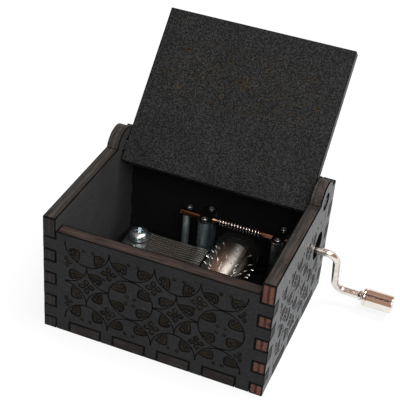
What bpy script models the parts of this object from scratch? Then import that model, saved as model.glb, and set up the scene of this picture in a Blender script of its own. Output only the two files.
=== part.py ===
"""Hand-cranked wooden music box with its mechanism open to view.

Six plywood panels joined by fingers hold a pinned cylinder, a steel comb and a
bent crank rod. A wire wound on the rod is the worm that turns the cylinder's wheel.
Frame: X to the right across the front, Y to the back, Z up, origin on the middle of
the base's underside.
"""
import math

import bmesh
import bpy
from mathutils import Matrix, Vector

MM = 0.001

# Box
BOX_W = 64.0 * MM
BOX_D = 52.0 * MM
SIDE_H = 37.1 * MM
PLY = 3.7 * MM
KERF = 0.12 * MM
TOP_FINGER_H = 6.3 * MM
FINGER_ROWS = 7
FRONT_TABS = 4
SIDE_TABS = 3
FRONT_TAB_PITCH_SHARE = 0.20422
SIDE_TAB_PITCH_SHARE = 0.25135
TAB_W_SHARE = 0.7269

# Lid and its pivot
LID_GAP = 0.37 * MM
LID_SEAT_GAP = 0.15 * MM
LID_FRONT_SHORT = 0.5 * MM
PIVOT_FROM_BACK = 8.8 * MM
PIVOT_HOLE_R = 2.55 * MM
PIVOT_TAB_W = 3.1 * MM
PIVOT_TAB_SHORT = 0.2 * MM
TAIL_GAP = 0.2 * MM
EAR_R = 5.85 * MM
LID_OPEN_DEG = 133.4

# Bedplate
SEAT_GAP = 0.2 * MM
BED_LEFT_SHARE = -0.75
BED_RIGHT_SHARE = 0.796875
BED_FRONT_EDGE = 2.0 * MM
BED_REAR_EDGE = 1.9 * MM
BED_T = 1.5 * MM
BED_CORNER_R = 2.5 * MM
WINDOW_GAP = 1.1 * MM
CUT_OVER = 1.0 * MM

# Crank rod with its two bends
CRANK_FROM_BACK = 11.0 * MM
CRANK_Z = 20.05 * MM
ROD_R = 1.0 * MM
ROD_NECK_R = 0.9 * MM
ROD_REACH_LEFT = 18.6 * MM
ROD_OUT = 6.0 * MM
ROD_BEND_R = 3.0 * MM
ARM_LEN = 15.5 * MM
ARM_TILT_DEG = 17.2
NECK_STEP = 0.15 * MM
RUN_GAP = 0.12 * MM
CRANK_HOLE_R = 4.0 * MM
CRANK_HOLE_RISE = 1.55 * MM

# Knob on the rod's outer end
KNOB_OUT = 8.6 * MM
KNOB_LEN = 8.0 * MM
KNOB_R = 2.6 * MM
KNOB_WAIST_R = 2.3 * MM
KNOB_RIM = 1.0 * MM
KNOB_EDGE = 0.35 * MM
KNOB_BORE_R = 1.15 * MM
SWAGE_R = 1.5 * MM
SWAGE_LEN = 0.9 * MM
SWAGE_GAP = 0.3 * MM
SWAGE_STEP = 0.2 * MM

# Worm: wire wound on the rod
WIRE_R = 0.2 * MM
WIRE_COIL_R = 1.25 * MM
WIRE_PITCH = 0.9 * MM
WIRE_TURNS = 14
WIRE_STEPS = 24
NECK_RUN = 0.6 * MM

# Pinned cylinder and its wheel
DRUM_X_SHARE = 0.290625
DRUM_Z = 12.0 * MM
DRUM_R = 6.4 * MM
DRUM_WALL = 0.9 * MM
DRUM_LEN = 18.0 * MM
DRUM_TO_CRANK = 5.0 * MM
PIN_R = 0.22 * MM
PIN_H = 0.8 * MM
PIN_ROOT = 0.4 * MM
PLUG_T = 2.0 * MM
ARBOR_R = 1.0 * MM
ARBOR_BORE_R = 1.15 * MM
WHEEL_TEETH = 45
WHEEL_FACE = 4.0 * MM
WHEEL_END_GAP = 0.4 * MM
MESH_DEPTH = 0.15 * MM
TOOTH_H = 0.6 * MM
TOOTH_TIP_W = 0.24 * MM
TOOTH_ROOT_W = 0.5 * MM
RIDGE_R = 6.5 * MM
RIDGE_W = 0.7 * MM
GROOVE_R = 5.7 * MM
GROOVE_W = 1.0 * MM
SPIGOT_L = 2.0 * MM
LUG_T = 1.0 * MM
LUG_R = 2.8 * MM
LUG_FOOT_W = 7.0 * MM
LUG_GAP = 1.0 * MM
ARBOR_END = 0.6 * MM

# Comb
TEETH = 18
TOOTH_PITCH = 0.94 * MM
TOOTH_SLOT = 0.26 * MM
COMB_REAR_STEP = 0.23 * MM
COMB_TOP_Z = 13.2 * MM
COMB_T = 0.9 * MM
COMB_LEFT_SHARE = -0.68125
COMB_ROOT_REAR_SHARE = -0.5
COMB_ROOT_FRONT_SHARE = -0.3375
TIP_GAP = 0.15 * MM
REST_SETBACK = 0.5 * MM
COMB_SCREW_X_SHARE = -0.571875
COMB_SCREW_REAR = 3.77 * MM
COMB_SCREW_SPREAD = 8.6 * MM
COMB_SCREW_HEAD_R = 3.0 * MM
COMB_SCREW_HEAD_H = 2.4 * MM
COMB_SCREW_R = 1.25 * MM
COMB_SCREW_SINK = 4.5 * MM
SCREW_GAP = 0.2 * MM

# Stands and keepers that hold the rod
LEFT_STAND_REACH = 10.25 * MM
RIGHT_STAND_REACH = 11.8 * MM
POST_R = 1.7 * MM
POST_SPREAD = 2.85 * MM
WEB_T = 1.2 * MM
KEEPER_W = 3.8 * MM
KEEPER_T = 0.45 * MM
KEEPER_SCREW_HEAD_R = 0.95 * MM
KEEPER_SCREW_HEAD_H = 0.3 * MM
KEEPER_SCREW_R = 0.55 * MM
KEEPER_SCREW_SINK = 2.5 * MM
END_PIN_REACH = 16.6 * MM
END_PIN_R = 0.7 * MM
END_PIN_RISE = 0.1 * MM

# Screws that come up through the base
BASE_SCREW_LEFT_SHARE = -0.640625
BASE_SCREW_RIGHT_SHARE = 0.6875
BASE_SCREW_REAR = 6.0 * MM
BASE_SCREW_FRONT = 2.2 * MM
BASE_SCREW_RIGHT = 6.0 * MM
BASE_SCREW_HEAD_R = 2.3 * MM
BASE_SCREW_HEAD_H = 1.2 * MM
BASE_SCREW_R = 1.1 * MM
COUNTERBORE_R = 2.7 * MM
COUNTERBORE_DEEP = 2.1 * MM

# Pins on each track, as shares of a turn from +X over the top
PIN_TURN_SHARES = (
    (0.10, 0.52, 0.78, 0.91),
    (0.315, 0.60, 0.84, 0.992),
    (0.053, 0.367, 0.47, 0.71),
    (0.20, 0.333, 0.56, 0.88),
    (0.0, 0.38, 0.64, 0.79),
    (0.339, 0.43, 0.69, 0.95),
    (0.011, 0.064, 0.50, 0.75),
    (0.24, 0.386, 0.59, 0.86),
    (0.15, 0.347, 0.66, 0.92),
    (0.089, 0.189, 0.289, 0.54, 0.81),
    (0.144, 0.383, 0.61, 0.89),
    (0.133, 0.247, 0.45, 0.73),
    (0.03, 0.32, 0.57, 0.83),
    (0.142, 0.242, 0.49, 0.77),
    (0.31, 0.42, 0.68, 0.94),
    (0.07, 0.20, 0.53, 0.80),
    (0.12, 0.36, 0.63, 0.90),
    (0.27, 0.46, 0.72, 0.97),
)

# Places that follow from the sizes
HALF_W = BOX_W / 2
HALF_D = BOX_D / 2
INNER_W = HALF_W - PLY
INNER_D = HALF_D - PLY
FRONT_TAB_PITCH = BOX_W * FRONT_TAB_PITCH_SHARE
SIDE_TAB_PITCH = BOX_D * SIDE_TAB_PITCH_SHARE
PIVOT_Y = HALF_D - PIVOT_FROM_BACK
PIVOT_Z = SIDE_H - PLY / 2
FRONT_H = SIDE_H - PLY - LID_SEAT_GAP
BED_Z = PLY + SEAT_GAP
BED_TOP = BED_Z + BED_T
STAND_Z = BED_TOP + SEAT_GAP
CRANK_Y = HALF_D - CRANK_FROM_BACK
DRUM_X = HALF_W * DRUM_X_SHARE
DRUM_Y1 = CRANK_Y - DRUM_TO_CRANK
DRUM_Y0 = DRUM_Y1 - DRUM_LEN
ROD_X0 = DRUM_X - ROD_REACH_LEFT
ROD_BEND_X = HALF_W + ROD_OUT
KNOB_X = ROD_BEND_X + KNOB_OUT
LEFT_STAND_X = DRUM_X - LEFT_STAND_REACH
RIGHT_STAND_X = DRUM_X + RIGHT_STAND_REACH
END_PIN_X = DRUM_X - END_PIN_REACH
KEEPER_Z = CRANK_Z + ROD_R + RUN_GAP
WORM_R = WIRE_COIL_R + WIRE_R
WHEEL_TIP_R = CRANK_Z - DRUM_Z - WORM_R + MESH_DEPTH
WHEEL_Y0 = CRANK_Y - WHEEL_FACE * 0.6
WHEEL_Y1 = WHEEL_Y0 + WHEEL_FACE
PIN_TIP_R = DRUM_R + PIN_H
LUG_Y0 = DRUM_Y0 - LUG_GAP - LUG_T
LUG_Y1 = WHEEL_Y1 + LUG_GAP
BED_X0 = HALF_W * BED_LEFT_SHARE
BED_X1 = HALF_W * BED_RIGHT_SHARE
BED_Y0 = LUG_Y0 - BED_FRONT_EDGE
BED_Y1 = LUG_Y1 + LUG_T + BED_REAR_EDGE
COMB_X0 = HALF_W * COMB_LEFT_SHARE
COMB_ROOT_REAR_X = HALF_W * COMB_ROOT_REAR_SHARE
COMB_ROOT_FRONT_X = HALF_W * COMB_ROOT_FRONT_SHARE
COMB_Y_REAR = DRUM_Y1 - COMB_REAR_STEP
COMB_Y_FRONT = COMB_Y_REAR - TEETH * TOOTH_PITCH
COMB_SCREW_X = HALF_W * COMB_SCREW_X_SHARE
COMB_SCREW_Y = (COMB_Y_REAR - COMB_SCREW_REAR, COMB_Y_REAR - COMB_SCREW_REAR - COMB_SCREW_SPREAD)
BASE_SCREWS = ((HALF_W * BASE_SCREW_LEFT_SHARE, BED_Y1 - BASE_SCREW_REAR),
               (HALF_W * BASE_SCREW_LEFT_SHARE, BED_Y0 + BASE_SCREW_FRONT),
               (HALF_W * BASE_SCREW_RIGHT_SHARE, BED_Y0 + BASE_SCREW_RIGHT))


def material(name, colour, roughness, metallic):
    """One Principled material."""
    made = bpy.data.materials.new(name)
    made.use_nodes = True
    shader = made.node_tree.nodes["Principled BSDF"]
    shader.inputs["Base Color"].default_value = (*colour, 1.0)
    shader.inputs["Roughness"].default_value = roughness
    shader.inputs["Metallic"].default_value = metallic
    return made


PLY_BLACK = (0.030, 0.030, 0.032)
STEEL = (0.55, 0.55, 0.56)
NICKEL = (0.72, 0.69, 0.65)
BLUED = (0.16, 0.19, 0.22)
ZINC = (0.60, 0.66, 0.70)
BLACK_PLASTIC = (0.012, 0.012, 0.013)


def put(name, mesh, place, colour, roughness, metallic, parent=None):
    """Link one mesh as a named piece with its own material."""
    piece = bpy.data.objects.new(name, mesh)
    bpy.context.scene.collection.objects.link(piece)
    piece.location = place
    piece.parent = parent
    mesh.materials.append(material(name, colour, roughness, metallic))
    return piece


def guide(name, mesh, place):
    """Link one mesh as a hidden cutter or filler for a Boolean."""
    piece = bpy.data.objects.new(name, mesh)
    bpy.context.scene.collection.objects.link(piece)
    piece.location = place
    piece.hide_render = True
    piece.display_type = "WIRE"
    return piece


def combine(piece, other, operation):
    """Add an exact Boolean with another object."""
    step = piece.modifiers.new(operation.lower(), "BOOLEAN")
    step.operation = operation
    step.solver = "EXACT"
    step.object = other


def axis_point(axis, u, v, w):
    """Turn plane coordinates and a distance along the axis into X, Y, Z."""
    if axis == "X":
        return (w, u, v)
    if axis == "Y":
        return (u, w, v)
    return (u, v, w)


def prism(name, outline, axis, depth):
    """Extrude a closed outline along one axis, from zero to the depth."""
    bm = bmesh.new()
    corners = [bm.verts.new(axis_point(axis, u, v, 0)) for u, v in outline]
    face = bm.faces.new(corners)
    grown = bmesh.ops.extrude_face_region(bm, geom=[face])
    moved = [item for item in grown["geom"] if isinstance(item, bmesh.types.BMVert)]
    bmesh.ops.translate(bm, verts=moved, vec=axis_point(axis, 0, 0, depth))
    bmesh.ops.recalc_face_normals(bm, faces=bm.faces)
    mesh = bpy.data.meshes.new(name)
    bm.to_mesh(mesh)
    bm.free()
    return mesh


def turned(name, profile, axis, steps, closed):
    """Spin a profile of (radius, distance along the axis) about the axis."""
    bm = bmesh.new()
    points = [bm.verts.new(axis_point(axis, r, 0, w)) for r, w in profile]
    edges = [bm.edges.new(pair) for pair in zip(points, points[1:])]
    if closed:
        edges.append(bm.edges.new((points[-1], points[0])))
    bmesh.ops.spin(bm, geom=points + edges, cent=(0, 0, 0), axis=axis_point(axis, 0, 0, 1),
                   angle=2 * math.pi, steps=steps, use_merge=True)
    bmesh.ops.remove_doubles(bm, verts=bm.verts, dist=1e-7)
    bmesh.ops.recalc_face_normals(bm, faces=bm.faces)
    mesh = bpy.data.meshes.new(name)
    bm.to_mesh(mesh)
    bm.free()
    mesh.shade_smooth()
    mesh.set_sharp_from_angle(angle=math.radians(35))
    return mesh


def cylinder(name, radius, low, high, axis, steps=32):
    """A plain round bar between two distances along the axis."""
    return turned(name, [(0, low), (radius, low), (radius, high), (0, high)], axis, steps, False)


def arc(u, v, radius, start, end, count):
    """Points on an arc, both ends included."""
    return [(u + radius * math.cos(start + (end - start) * i / count),
             v + radius * math.sin(start + (end - start) * i / count)) for i in range(count + 1)]


def rounded_rectangle(x_span, y_span, radius, count=5):
    """A rectangle's outline with round corners, anticlockwise."""
    x0, x1 = x_span
    y0, y1 = y_span
    quarter = math.pi / 2
    return (arc(x1 - radius, y0 + radius, radius, -quarter, 0, count)
            + arc(x1 - radius, y1 - radius, radius, 0, quarter, count)
            + arc(x0 + radius, y1 - radius, radius, quarter, math.pi, count)
            + arc(x0 + radius, y0 + radius, radius, math.pi, math.pi + quarter, count))


def finger_levels():
    """Heights where fingers and tabs change over, above the base's edge."""
    top = SIDE_H - TOP_FINGER_H
    return [PLY + (top - PLY) * i / FINGER_ROWS for i in range(FINGER_ROWS + 1)]


def tab_centres(count, pitch):
    """Centres of the base's tabs along one edge."""
    return [(i - (count - 1) / 2) * pitch for i in range(count)]


def notched_edge():
    """A side panel's upright edge as (depth, height), notched for the other panel's tabs."""
    levels = finger_levels()
    deep = PLY + KERF
    points = [(0, 0)]
    for row in range(0, FINGER_ROWS, 2):
        low = levels[row] - KERF / 2
        high = levels[row + 1] + KERF / 2
        points += [(0, low), (deep, low), (deep, high), (0, high)]
    points.append((0, SIDE_H))
    return points


def tabbed_edge(top):
    """A front or back panel's upright edge as (depth, height), with tabs to the outside."""
    levels = finger_levels()
    deep = PLY + KERF
    points = [(deep, 0)]
    for row in range(0, FINGER_ROWS, 2):
        low = levels[row] + KERF / 2
        high = levels[row + 1] - KERF / 2
        points += [(deep, low), (0, low), (0, high), (deep, high)]
    points.append((deep, top))
    return points


def slotted_foot(count, pitch):
    """A panel's bottom edge with slots for the base's tabs, in rising order."""
    half = pitch * TAB_W_SHARE / 2 + KERF / 2
    rise = PLY + KERF
    points = []
    for centre in tab_centres(count, pitch):
        points += [(centre - half, 0), (centre - half, rise), (centre + half, rise), (centre + half, 0)]
    return points


def end_panel(name, back, height):
    """The front or back panel."""
    right = [(HALF_W - depth, z) for depth, z in tabbed_edge(height)]
    left = [(-x, z) for x, z in reversed(right)]
    mesh = prism(name, slotted_foot(FRONT_TABS, FRONT_TAB_PITCH) + right + left, "Y", PLY)
    place = (0, HALF_D - PLY, 0) if back else (0, -HALF_D, 0)
    return put(name, mesh, place, PLY_BLACK, 0.75, 0.0)


def side_outline():
    """A side panel seen from the right: fingers, foot slots and the ear."""
    rise = SIDE_H - PIVOT_Z
    lean = math.asin(rise / EAR_R)
    rear = [(HALF_D - depth, z) for depth, z in notched_edge()]
    front = [(-y, z) for y, z in reversed(rear)]
    ear = arc(PIVOT_Y, PIVOT_Z, EAR_R, lean, math.pi - lean, 18)
    return slotted_foot(SIDE_TABS, SIDE_TAB_PITCH) + rear + ear + front


def side_panel(name, right):
    """A side panel with its pivot hole, and on the right the crank's hole."""
    mesh = prism(name, side_outline(), "X", PLY)
    place = (HALF_W - PLY, 0, 0) if right else (-HALF_W, 0, 0)
    piece = put(name, mesh, place, PLY_BLACK, 0.75, 0.0)
    reach = (-CUT_OVER, PLY + CUT_OVER)
    hole = guide(name + "_pivot_cut", cylinder(name + "_pivot_cut", PIVOT_HOLE_R, *reach, "X", 32),
                 (place[0], PIVOT_Y, PIVOT_Z))
    combine(piece, hole, "DIFFERENCE")
    if right:
        mesh = cylinder(name + "_crank_cut", CRANK_HOLE_R, *reach, "X", 40)
        hole = guide(name + "_crank_cut", mesh, (place[0], CRANK_Y, CRANK_Z + CRANK_HOLE_RISE))
        combine(piece, hole, "DIFFERENCE")
    return piece


def base_outline():
    """The base panel's plan: an inner rectangle with tabs on its four edges."""
    half = FRONT_TAB_PITCH * TAB_W_SHARE / 2 - KERF / 2
    x_in = INNER_W - KERF
    y_in = INNER_D - KERF
    front = [(-x_in, -y_in)]
    for centre in tab_centres(FRONT_TABS, FRONT_TAB_PITCH):
        front += [(centre - half, -y_in), (centre - half, -HALF_D), (centre + half, -HALF_D),
                  (centre + half, -y_in)]
    half = SIDE_TAB_PITCH * TAB_W_SHARE / 2 - KERF / 2
    right = [(x_in, -y_in)]
    for centre in tab_centres(SIDE_TABS, SIDE_TAB_PITCH):
        right += [(x_in, centre - half), (HALF_W, centre - half), (HALF_W, centre + half),
                  (x_in, centre + half)]
    return front + right + [(-x, -y) for x, y in front] + [(-x, -y) for x, y in right]


def base_panel():
    """The base with counterbored holes for the bedplate's screws."""
    piece = put("base_panel", prism("base_panel", base_outline(), "Z", PLY), (0, 0, 0),
                PLY_BLACK, 0.75, 0.0)
    profile = [(0, -CUT_OVER), (COUNTERBORE_R, -CUT_OVER), (COUNTERBORE_R, COUNTERBORE_DEEP),
               (BASE_SCREW_R + SCREW_GAP, COUNTERBORE_DEEP), (BASE_SCREW_R + SCREW_GAP, PLY + CUT_OVER),
               (0, PLY + CUT_OVER)]
    for i, (x, y) in enumerate(BASE_SCREWS):
        name = f"base_cut_{i + 1}"
        combine(piece, guide(name, turned(name, profile, "Z", 24, False), (x, y, 0)), "DIFFERENCE")
    return piece


def lid():
    """The lid with its two pivot tabs, standing open on its stop."""
    half = INNER_W - LID_GAP
    tail = math.sqrt((INNER_D - TAIL_GAP - PIVOT_Y) ** 2 - (PLY / 2) ** 2)
    front = -(PIVOT_Y + HALF_D - LID_FRONT_SHORT)
    reach = HALF_W - PIVOT_TAB_SHORT
    tab = PIVOT_TAB_W / 2
    right = [(half, front), (half, -tab), (reach, -tab), (reach, tab), (half, tab), (half, tail)]
    outline = right + [(-x, y) for x, y in reversed(right)]
    mesh = prism("lid", outline, "Z", PLY)
    mesh.transform(Matrix.Translation((0, 0, -PLY / 2)))
    piece = put("lid", mesh, (0, PIVOT_Y, PIVOT_Z), PLY_BLACK, 0.75, 0.0)
    piece.rotation_euler = (-math.radians(LID_OPEN_DEG), 0, 0)
    return piece


def bedplate():
    """The plate under the mechanism, with a window for the cylinder and two bearing lugs."""
    piece = put("bedplate", prism("bedplate", rounded_rectangle((BED_X0, BED_X1), (BED_Y0, BED_Y1), BED_CORNER_R), "Z", BED_T),
                (0, 0, BED_Z), STEEL, 0.4, 1.0)
    reach = PIN_TIP_R + WINDOW_GAP
    y_span = (LUG_Y0 + LUG_T + WINDOW_GAP / 2, LUG_Y1 - WINDOW_GAP / 2)
    window = rounded_rectangle((DRUM_X - reach, DRUM_X + reach), y_span, WINDOW_GAP, 3)
    mesh = prism("window_cut", window, "Z", BED_T + 2 * CUT_OVER)
    combine(piece, guide("window_cut", mesh, (0, 0, BED_Z - CUT_OVER)), "DIFFERENCE")
    foot = BED_Z + BED_T / 2 - DRUM_Z
    outline = [(-LUG_FOOT_W / 2, foot), (LUG_FOOT_W / 2, foot)] + arc(0, 0, LUG_R, 0, math.pi, 12)
    for i, y in enumerate((LUG_Y0, LUG_Y1)):
        lug = guide(f"lug_{i + 1}", prism(f"lug_{i + 1}", outline, "Y", LUG_T), (DRUM_X, y, DRUM_Z))
        combine(piece, lug, "UNION")
    mesh = cylinder("arbor_cut", ARBOR_BORE_R, LUG_Y0 - CUT_OVER, LUG_Y1 + LUG_T + CUT_OVER, "Y", 24)
    combine(piece, guide("arbor_cut", mesh, (DRUM_X, 0, DRUM_Z)), "DIFFERENCE")
    for i, (x, y) in enumerate(BASE_SCREWS):
        name = f"bed_cut_{i + 1}"
        mesh = cylinder(name, BASE_SCREW_R + SCREW_GAP, -CUT_OVER, BED_T + CUT_OVER, "Z", 24)
        combine(piece, guide(name, mesh, (x, y, BED_Z)), "DIFFERENCE")
    return piece


def base_screws():
    """Screws that hold the bedplate, with their heads sunk in the base."""
    seat = COUNTERBORE_DEEP - SEAT_GAP
    low = seat - BASE_SCREW_HEAD_H
    profile = [(0, low), (BASE_SCREW_HEAD_R * 0.75, low), (BASE_SCREW_HEAD_R, low + BASE_SCREW_HEAD_H / 2),
               (BASE_SCREW_HEAD_R, seat), (BASE_SCREW_R, seat), (BASE_SCREW_R, BED_TOP), (0, BED_TOP)]
    for i, (x, y) in enumerate(BASE_SCREWS):
        name = f"base_screw_{i + 1}"
        put(name, turned(name, profile, "Z", 20, False), (x, y, 0), STEEL, 0.35, 1.0)


def comb_root(y):
    """Where the comb's teeth start at a given y."""
    share = (COMB_Y_REAR - y) / (COMB_Y_REAR - COMB_Y_FRONT)
    return COMB_ROOT_REAR_X + (COMB_ROOT_FRONT_X - COMB_ROOT_REAR_X) * share


def comb_tip():
    """The tips' x, just clear of the circle that the pins' tips run on."""
    rise = COMB_TOP_Z - COMB_T - DRUM_Z
    return DRUM_X - math.sqrt(PIN_TIP_R ** 2 - rise ** 2) - TIP_GAP


def comb():
    """The tuned comb: a plate with slots between its teeth."""
    tip = comb_tip()
    outline = [(COMB_X0, COMB_Y_FRONT)]
    for i in range(TEETH):
        front = COMB_Y_FRONT + i * TOOTH_PITCH + TOOTH_SLOT / 2
        rear = COMB_Y_FRONT + (i + 1) * TOOTH_PITCH - TOOTH_SLOT / 2
        if i == 0:
            outline.append((tip, COMB_Y_FRONT))
        else:
            outline += [(comb_root(front), front), (tip, front)]
        if i == TEETH - 1:
            outline.append((tip, COMB_Y_REAR))
        else:
            outline += [(tip, rear), (comb_root(rear), rear)]
    outline.append((COMB_X0, COMB_Y_REAR))
    piece = put("comb", prism("comb", outline, "Z", COMB_T), (0, 0, COMB_TOP_Z - COMB_T), STEEL, 0.3, 1.0)
    for i, y in enumerate(COMB_SCREW_Y):
        name = f"comb_cut_{i + 1}"
        mesh = cylinder(name, COMB_SCREW_R + SCREW_GAP, -CUT_OVER, COMB_T + CUT_OVER, "Z", 24)
        combine(piece, guide(name, mesh, (COMB_SCREW_X, y, COMB_TOP_Z - COMB_T)), "DIFFERENCE")
    return piece


def comb_rest():
    """The block that the comb is screwed to."""
    top = COMB_TOP_Z - COMB_T - SEAT_GAP
    low = STAND_Z
    y0 = COMB_Y_FRONT
    y1 = COMB_Y_REAR
    outline = [(COMB_X0, y0), (comb_root(y0) - REST_SETBACK, y0), (comb_root(y1) - REST_SETBACK, y1),
               (COMB_X0, y1)]
    piece = put("comb_rest", prism("comb_rest", outline, "Z", top - low), (0, 0, low), STEEL, 0.45, 1.0)
    for i, y in enumerate(COMB_SCREW_Y):
        name = f"rest_cut_{i + 1}"
        mesh = cylinder(name, COMB_SCREW_R + SCREW_GAP, -COMB_SCREW_SINK, CUT_OVER, "Z", 24)
        combine(piece, guide(name, mesh, (COMB_SCREW_X, y, top)), "DIFFERENCE")
    return piece


def screw(name, place, head_r, head_h, shank_r, sink, sink_gap, colour):
    """A pan-head screw whose head rests at the given place and whose shank runs down."""
    profile = [(0, -sink), (shank_r, -sink), (shank_r, sink_gap), (head_r, sink_gap),
               (head_r, sink_gap + head_h * 0.45), (head_r * 0.86, sink_gap + head_h * 0.82),
               (head_r * 0.55, sink_gap + head_h), (0, sink_gap + head_h)]
    return put(name, turned(name, profile, "Z", 24, False), place, colour, 0.25, 1.0)


def comb_screws():
    """The two large screws on the comb."""
    sink = COMB_SCREW_SINK + COMB_T - SEAT_GAP
    for name, y in zip(("comb_screw_rear", "comb_screw_front"), COMB_SCREW_Y):
        screw(name, (COMB_SCREW_X, y, COMB_TOP_Z), COMB_SCREW_HEAD_R, COMB_SCREW_HEAD_H,
              COMB_SCREW_R, sink, SEAT_GAP, ZINC)


def stand(name, x):
    """Two round posts and a web with a saddle that carries the rod."""
    top = KEEPER_Z - SEAT_GAP
    piece = put(name, cylinder(name, POST_R, STAND_Z, top, "Z", 28), (x, CRANK_Y - POST_SPREAD, 0),
                BLUED, 0.35, 1.0)
    mesh = cylinder(name + "_post", POST_R, STAND_Z, top, "Z", 28)
    combine(piece, guide(name + "_post", mesh, (x, CRANK_Y + POST_SPREAD, 0)), "UNION")
    web = [(-POST_SPREAD, STAND_Z), (POST_SPREAD, STAND_Z), (POST_SPREAD, CRANK_Z), (-POST_SPREAD, CRANK_Z)]
    mesh = prism(name + "_web", web, "X", WEB_T)
    combine(piece, guide(name + "_web", mesh, (x - WEB_T / 2, CRANK_Y, 0)), "UNION")
    reach = POST_R + CUT_OVER
    mesh = cylinder(name + "_saddle", ROD_R + RUN_GAP, -reach, reach, "X", 32)
    combine(piece, guide(name + "_saddle", mesh, (x, CRANK_Y, CRANK_Z)), "DIFFERENCE")
    for i, side in enumerate((-1, 1)):
        mesh = cylinder(name + f"_tap_{i + 1}", KEEPER_SCREW_R + SCREW_GAP, -KEEPER_SCREW_SINK - SEAT_GAP,
                        CUT_OVER, "Z", 16)
        cut = guide(name + f"_tap_{i + 1}", mesh, (x, CRANK_Y + side * POST_SPREAD, top))
        combine(piece, cut, "DIFFERENCE")
    return piece


def keeper(name, x):
    """The black plate across a stand's posts, over the rod."""
    half = KEEPER_W / 2
    outline = arc(0, POST_SPREAD, half, 0, math.pi, 12) + arc(0, -POST_SPREAD, half, math.pi, 2 * math.pi, 12)
    piece = put(name, prism(name, outline, "Z", KEEPER_T), (x, CRANK_Y, KEEPER_Z), BLACK_PLASTIC, 0.3, 0.0)
    for i, side in enumerate((-1, 1)):
        cut = f"{name}_cut_{i + 1}"
        mesh = cylinder(cut, KEEPER_SCREW_R + SCREW_GAP, -CUT_OVER, KEEPER_T + CUT_OVER, "Z", 16)
        combine(piece, guide(cut, mesh, (x, CRANK_Y + side * POST_SPREAD, KEEPER_Z)), "DIFFERENCE")
    return piece


def keeper_screws(name, x):
    """The two small screws of one keeper."""
    for where, side in (("front", -1), ("rear", 1)):
        place = (x, CRANK_Y + side * POST_SPREAD, KEEPER_Z + KEEPER_T)
        screw(f"{name}_screw_{where}", place, KEEPER_SCREW_HEAD_R, KEEPER_SCREW_HEAD_H, KEEPER_SCREW_R,
              KEEPER_SCREW_SINK + KEEPER_T, SEAT_GAP / 2, STEEL)


def end_pin():
    """The thin upright pin behind the rod's inner end."""
    y = CRANK_Y + ROD_R + RUN_GAP + END_PIN_R
    mesh = cylinder("end_pin", END_PIN_R, STAND_Z, CRANK_Z + END_PIN_RISE, "Z", 20)
    return put("end_pin", mesh, (END_PIN_X, y, 0), BLUED, 0.35, 1.0)


def tube(name, points, radii, radius, resolution, parent, colour):
    """A round bar along points, with filled ends."""
    data = bpy.data.curves.new(name, "CURVE")
    data.dimensions = "3D"
    data.bevel_depth = radius
    data.bevel_resolution = resolution
    data.use_fill_caps = True
    line = data.splines.new("POLY")
    line.points.add(len(points) - 1)
    for spot, place, share in zip(line.points, points, radii):
        spot.co = (*place, 1.0)
        spot.radius = share
    piece = bpy.data.objects.new(name, data)
    bpy.context.scene.collection.objects.link(piece)
    piece.parent = parent
    data.materials.append(material(name, colour, 0.2, 1.0))
    return piece


def worm_span():
    """The worm's first turn's x, so that a gap between turns faces a tooth, and its last."""
    middle = DRUM_X + WIRE_PITCH * 0.75 - WIRE_PITCH
    return middle - WIRE_PITCH * WIRE_TURNS / 2, middle + WIRE_PITCH * WIRE_TURNS / 2


def crank_rod(axis):
    """The rod: a straight shaft, a bent arm and a straight grip."""
    tilt = math.radians(ARM_TILT_DEG)
    down = Vector((0, math.sin(tilt), -math.cos(tilt)))
    along = Vector((1, 0, 0))
    first, last = worm_span()
    neck = ROD_NECK_R / ROD_R
    points = [Vector((ROD_X0, 0, 0))]
    radii = [1.0]
    for x, share in ((first - NECK_RUN - NECK_STEP, 1.0), (first - NECK_RUN, neck),
                     (last + NECK_RUN, neck), (last + NECK_RUN + NECK_STEP, 1.0)):
        points.append(Vector((x, 0, 0)))
        radii.append(share)
    for i in range(9):
        turn = math.radians(90) * i / 8
        start = Vector((ROD_BEND_X - ROD_BEND_R, 0, 0))
        points.append(start + along * ROD_BEND_R * math.sin(turn) + down * ROD_BEND_R * (1 - math.cos(turn)))
        radii.append(1.0)
    for i in range(9):
        turn = math.radians(90) * i / 8
        start = Vector((ROD_BEND_X, 0, 0)) + down * (ARM_LEN - ROD_BEND_R)
        points.append(start + down * ROD_BEND_R * math.sin(turn) + along * ROD_BEND_R * (1 - math.cos(turn)))
        radii.append(1.0)
    grip = down * ARM_LEN
    wide = SWAGE_R / ROD_R
    near = KNOB_X - SWAGE_GAP
    far = KNOB_X + KNOB_LEN + SWAGE_GAP
    stations = ((near - SWAGE_LEN - SWAGE_STEP, 1.0), (near - SWAGE_LEN, wide), (near - SWAGE_STEP, wide),
                (near, 1.0), (far, 1.0), (far + SWAGE_STEP, wide), (far + SWAGE_LEN, wide))
    for x, share in stations:
        points.append(grip + Vector((x, 0, 0)))
        radii.append(share)
    return tube("crank_rod", points, radii, ROD_R, 4, axis, NICKEL)


def worm_points():
    """Centre points of the wire: a steady helix with a straight stub at each end."""
    first, last = worm_span()
    count = WIRE_TURNS * WIRE_STEPS
    points = []
    for i in range(count + 1):
        turn = 2 * math.pi * i / WIRE_STEPS
        points.append(Vector((first + (last - first) * i / count, WIRE_COIL_R * math.cos(turn),
                              WIRE_COIL_R * math.sin(turn))))
    head = (points[0] - points[1]).normalized() * 2 * WIRE_R
    tail = (points[-1] - points[-2]).normalized() * 2 * WIRE_R
    return [points[0] + head] + points + [points[-1] + tail]


def worm_wire(axis):
    """The wound wire that is the worm."""
    points = worm_points()
    apart = WIRE_STEPS // 2
    least = min((points[i] - points[j]).length
                for i in range(len(points)) for j in range(i + apart, min(len(points), i + 2 * WIRE_STEPS)))
    print(f"worm wire least gap to itself {(least - 2 * WIRE_R) / MM:.3f} mm")
    return tube("worm_wire", points, [1.0] * len(points), WIRE_R, 1, axis, NICKEL)


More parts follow.
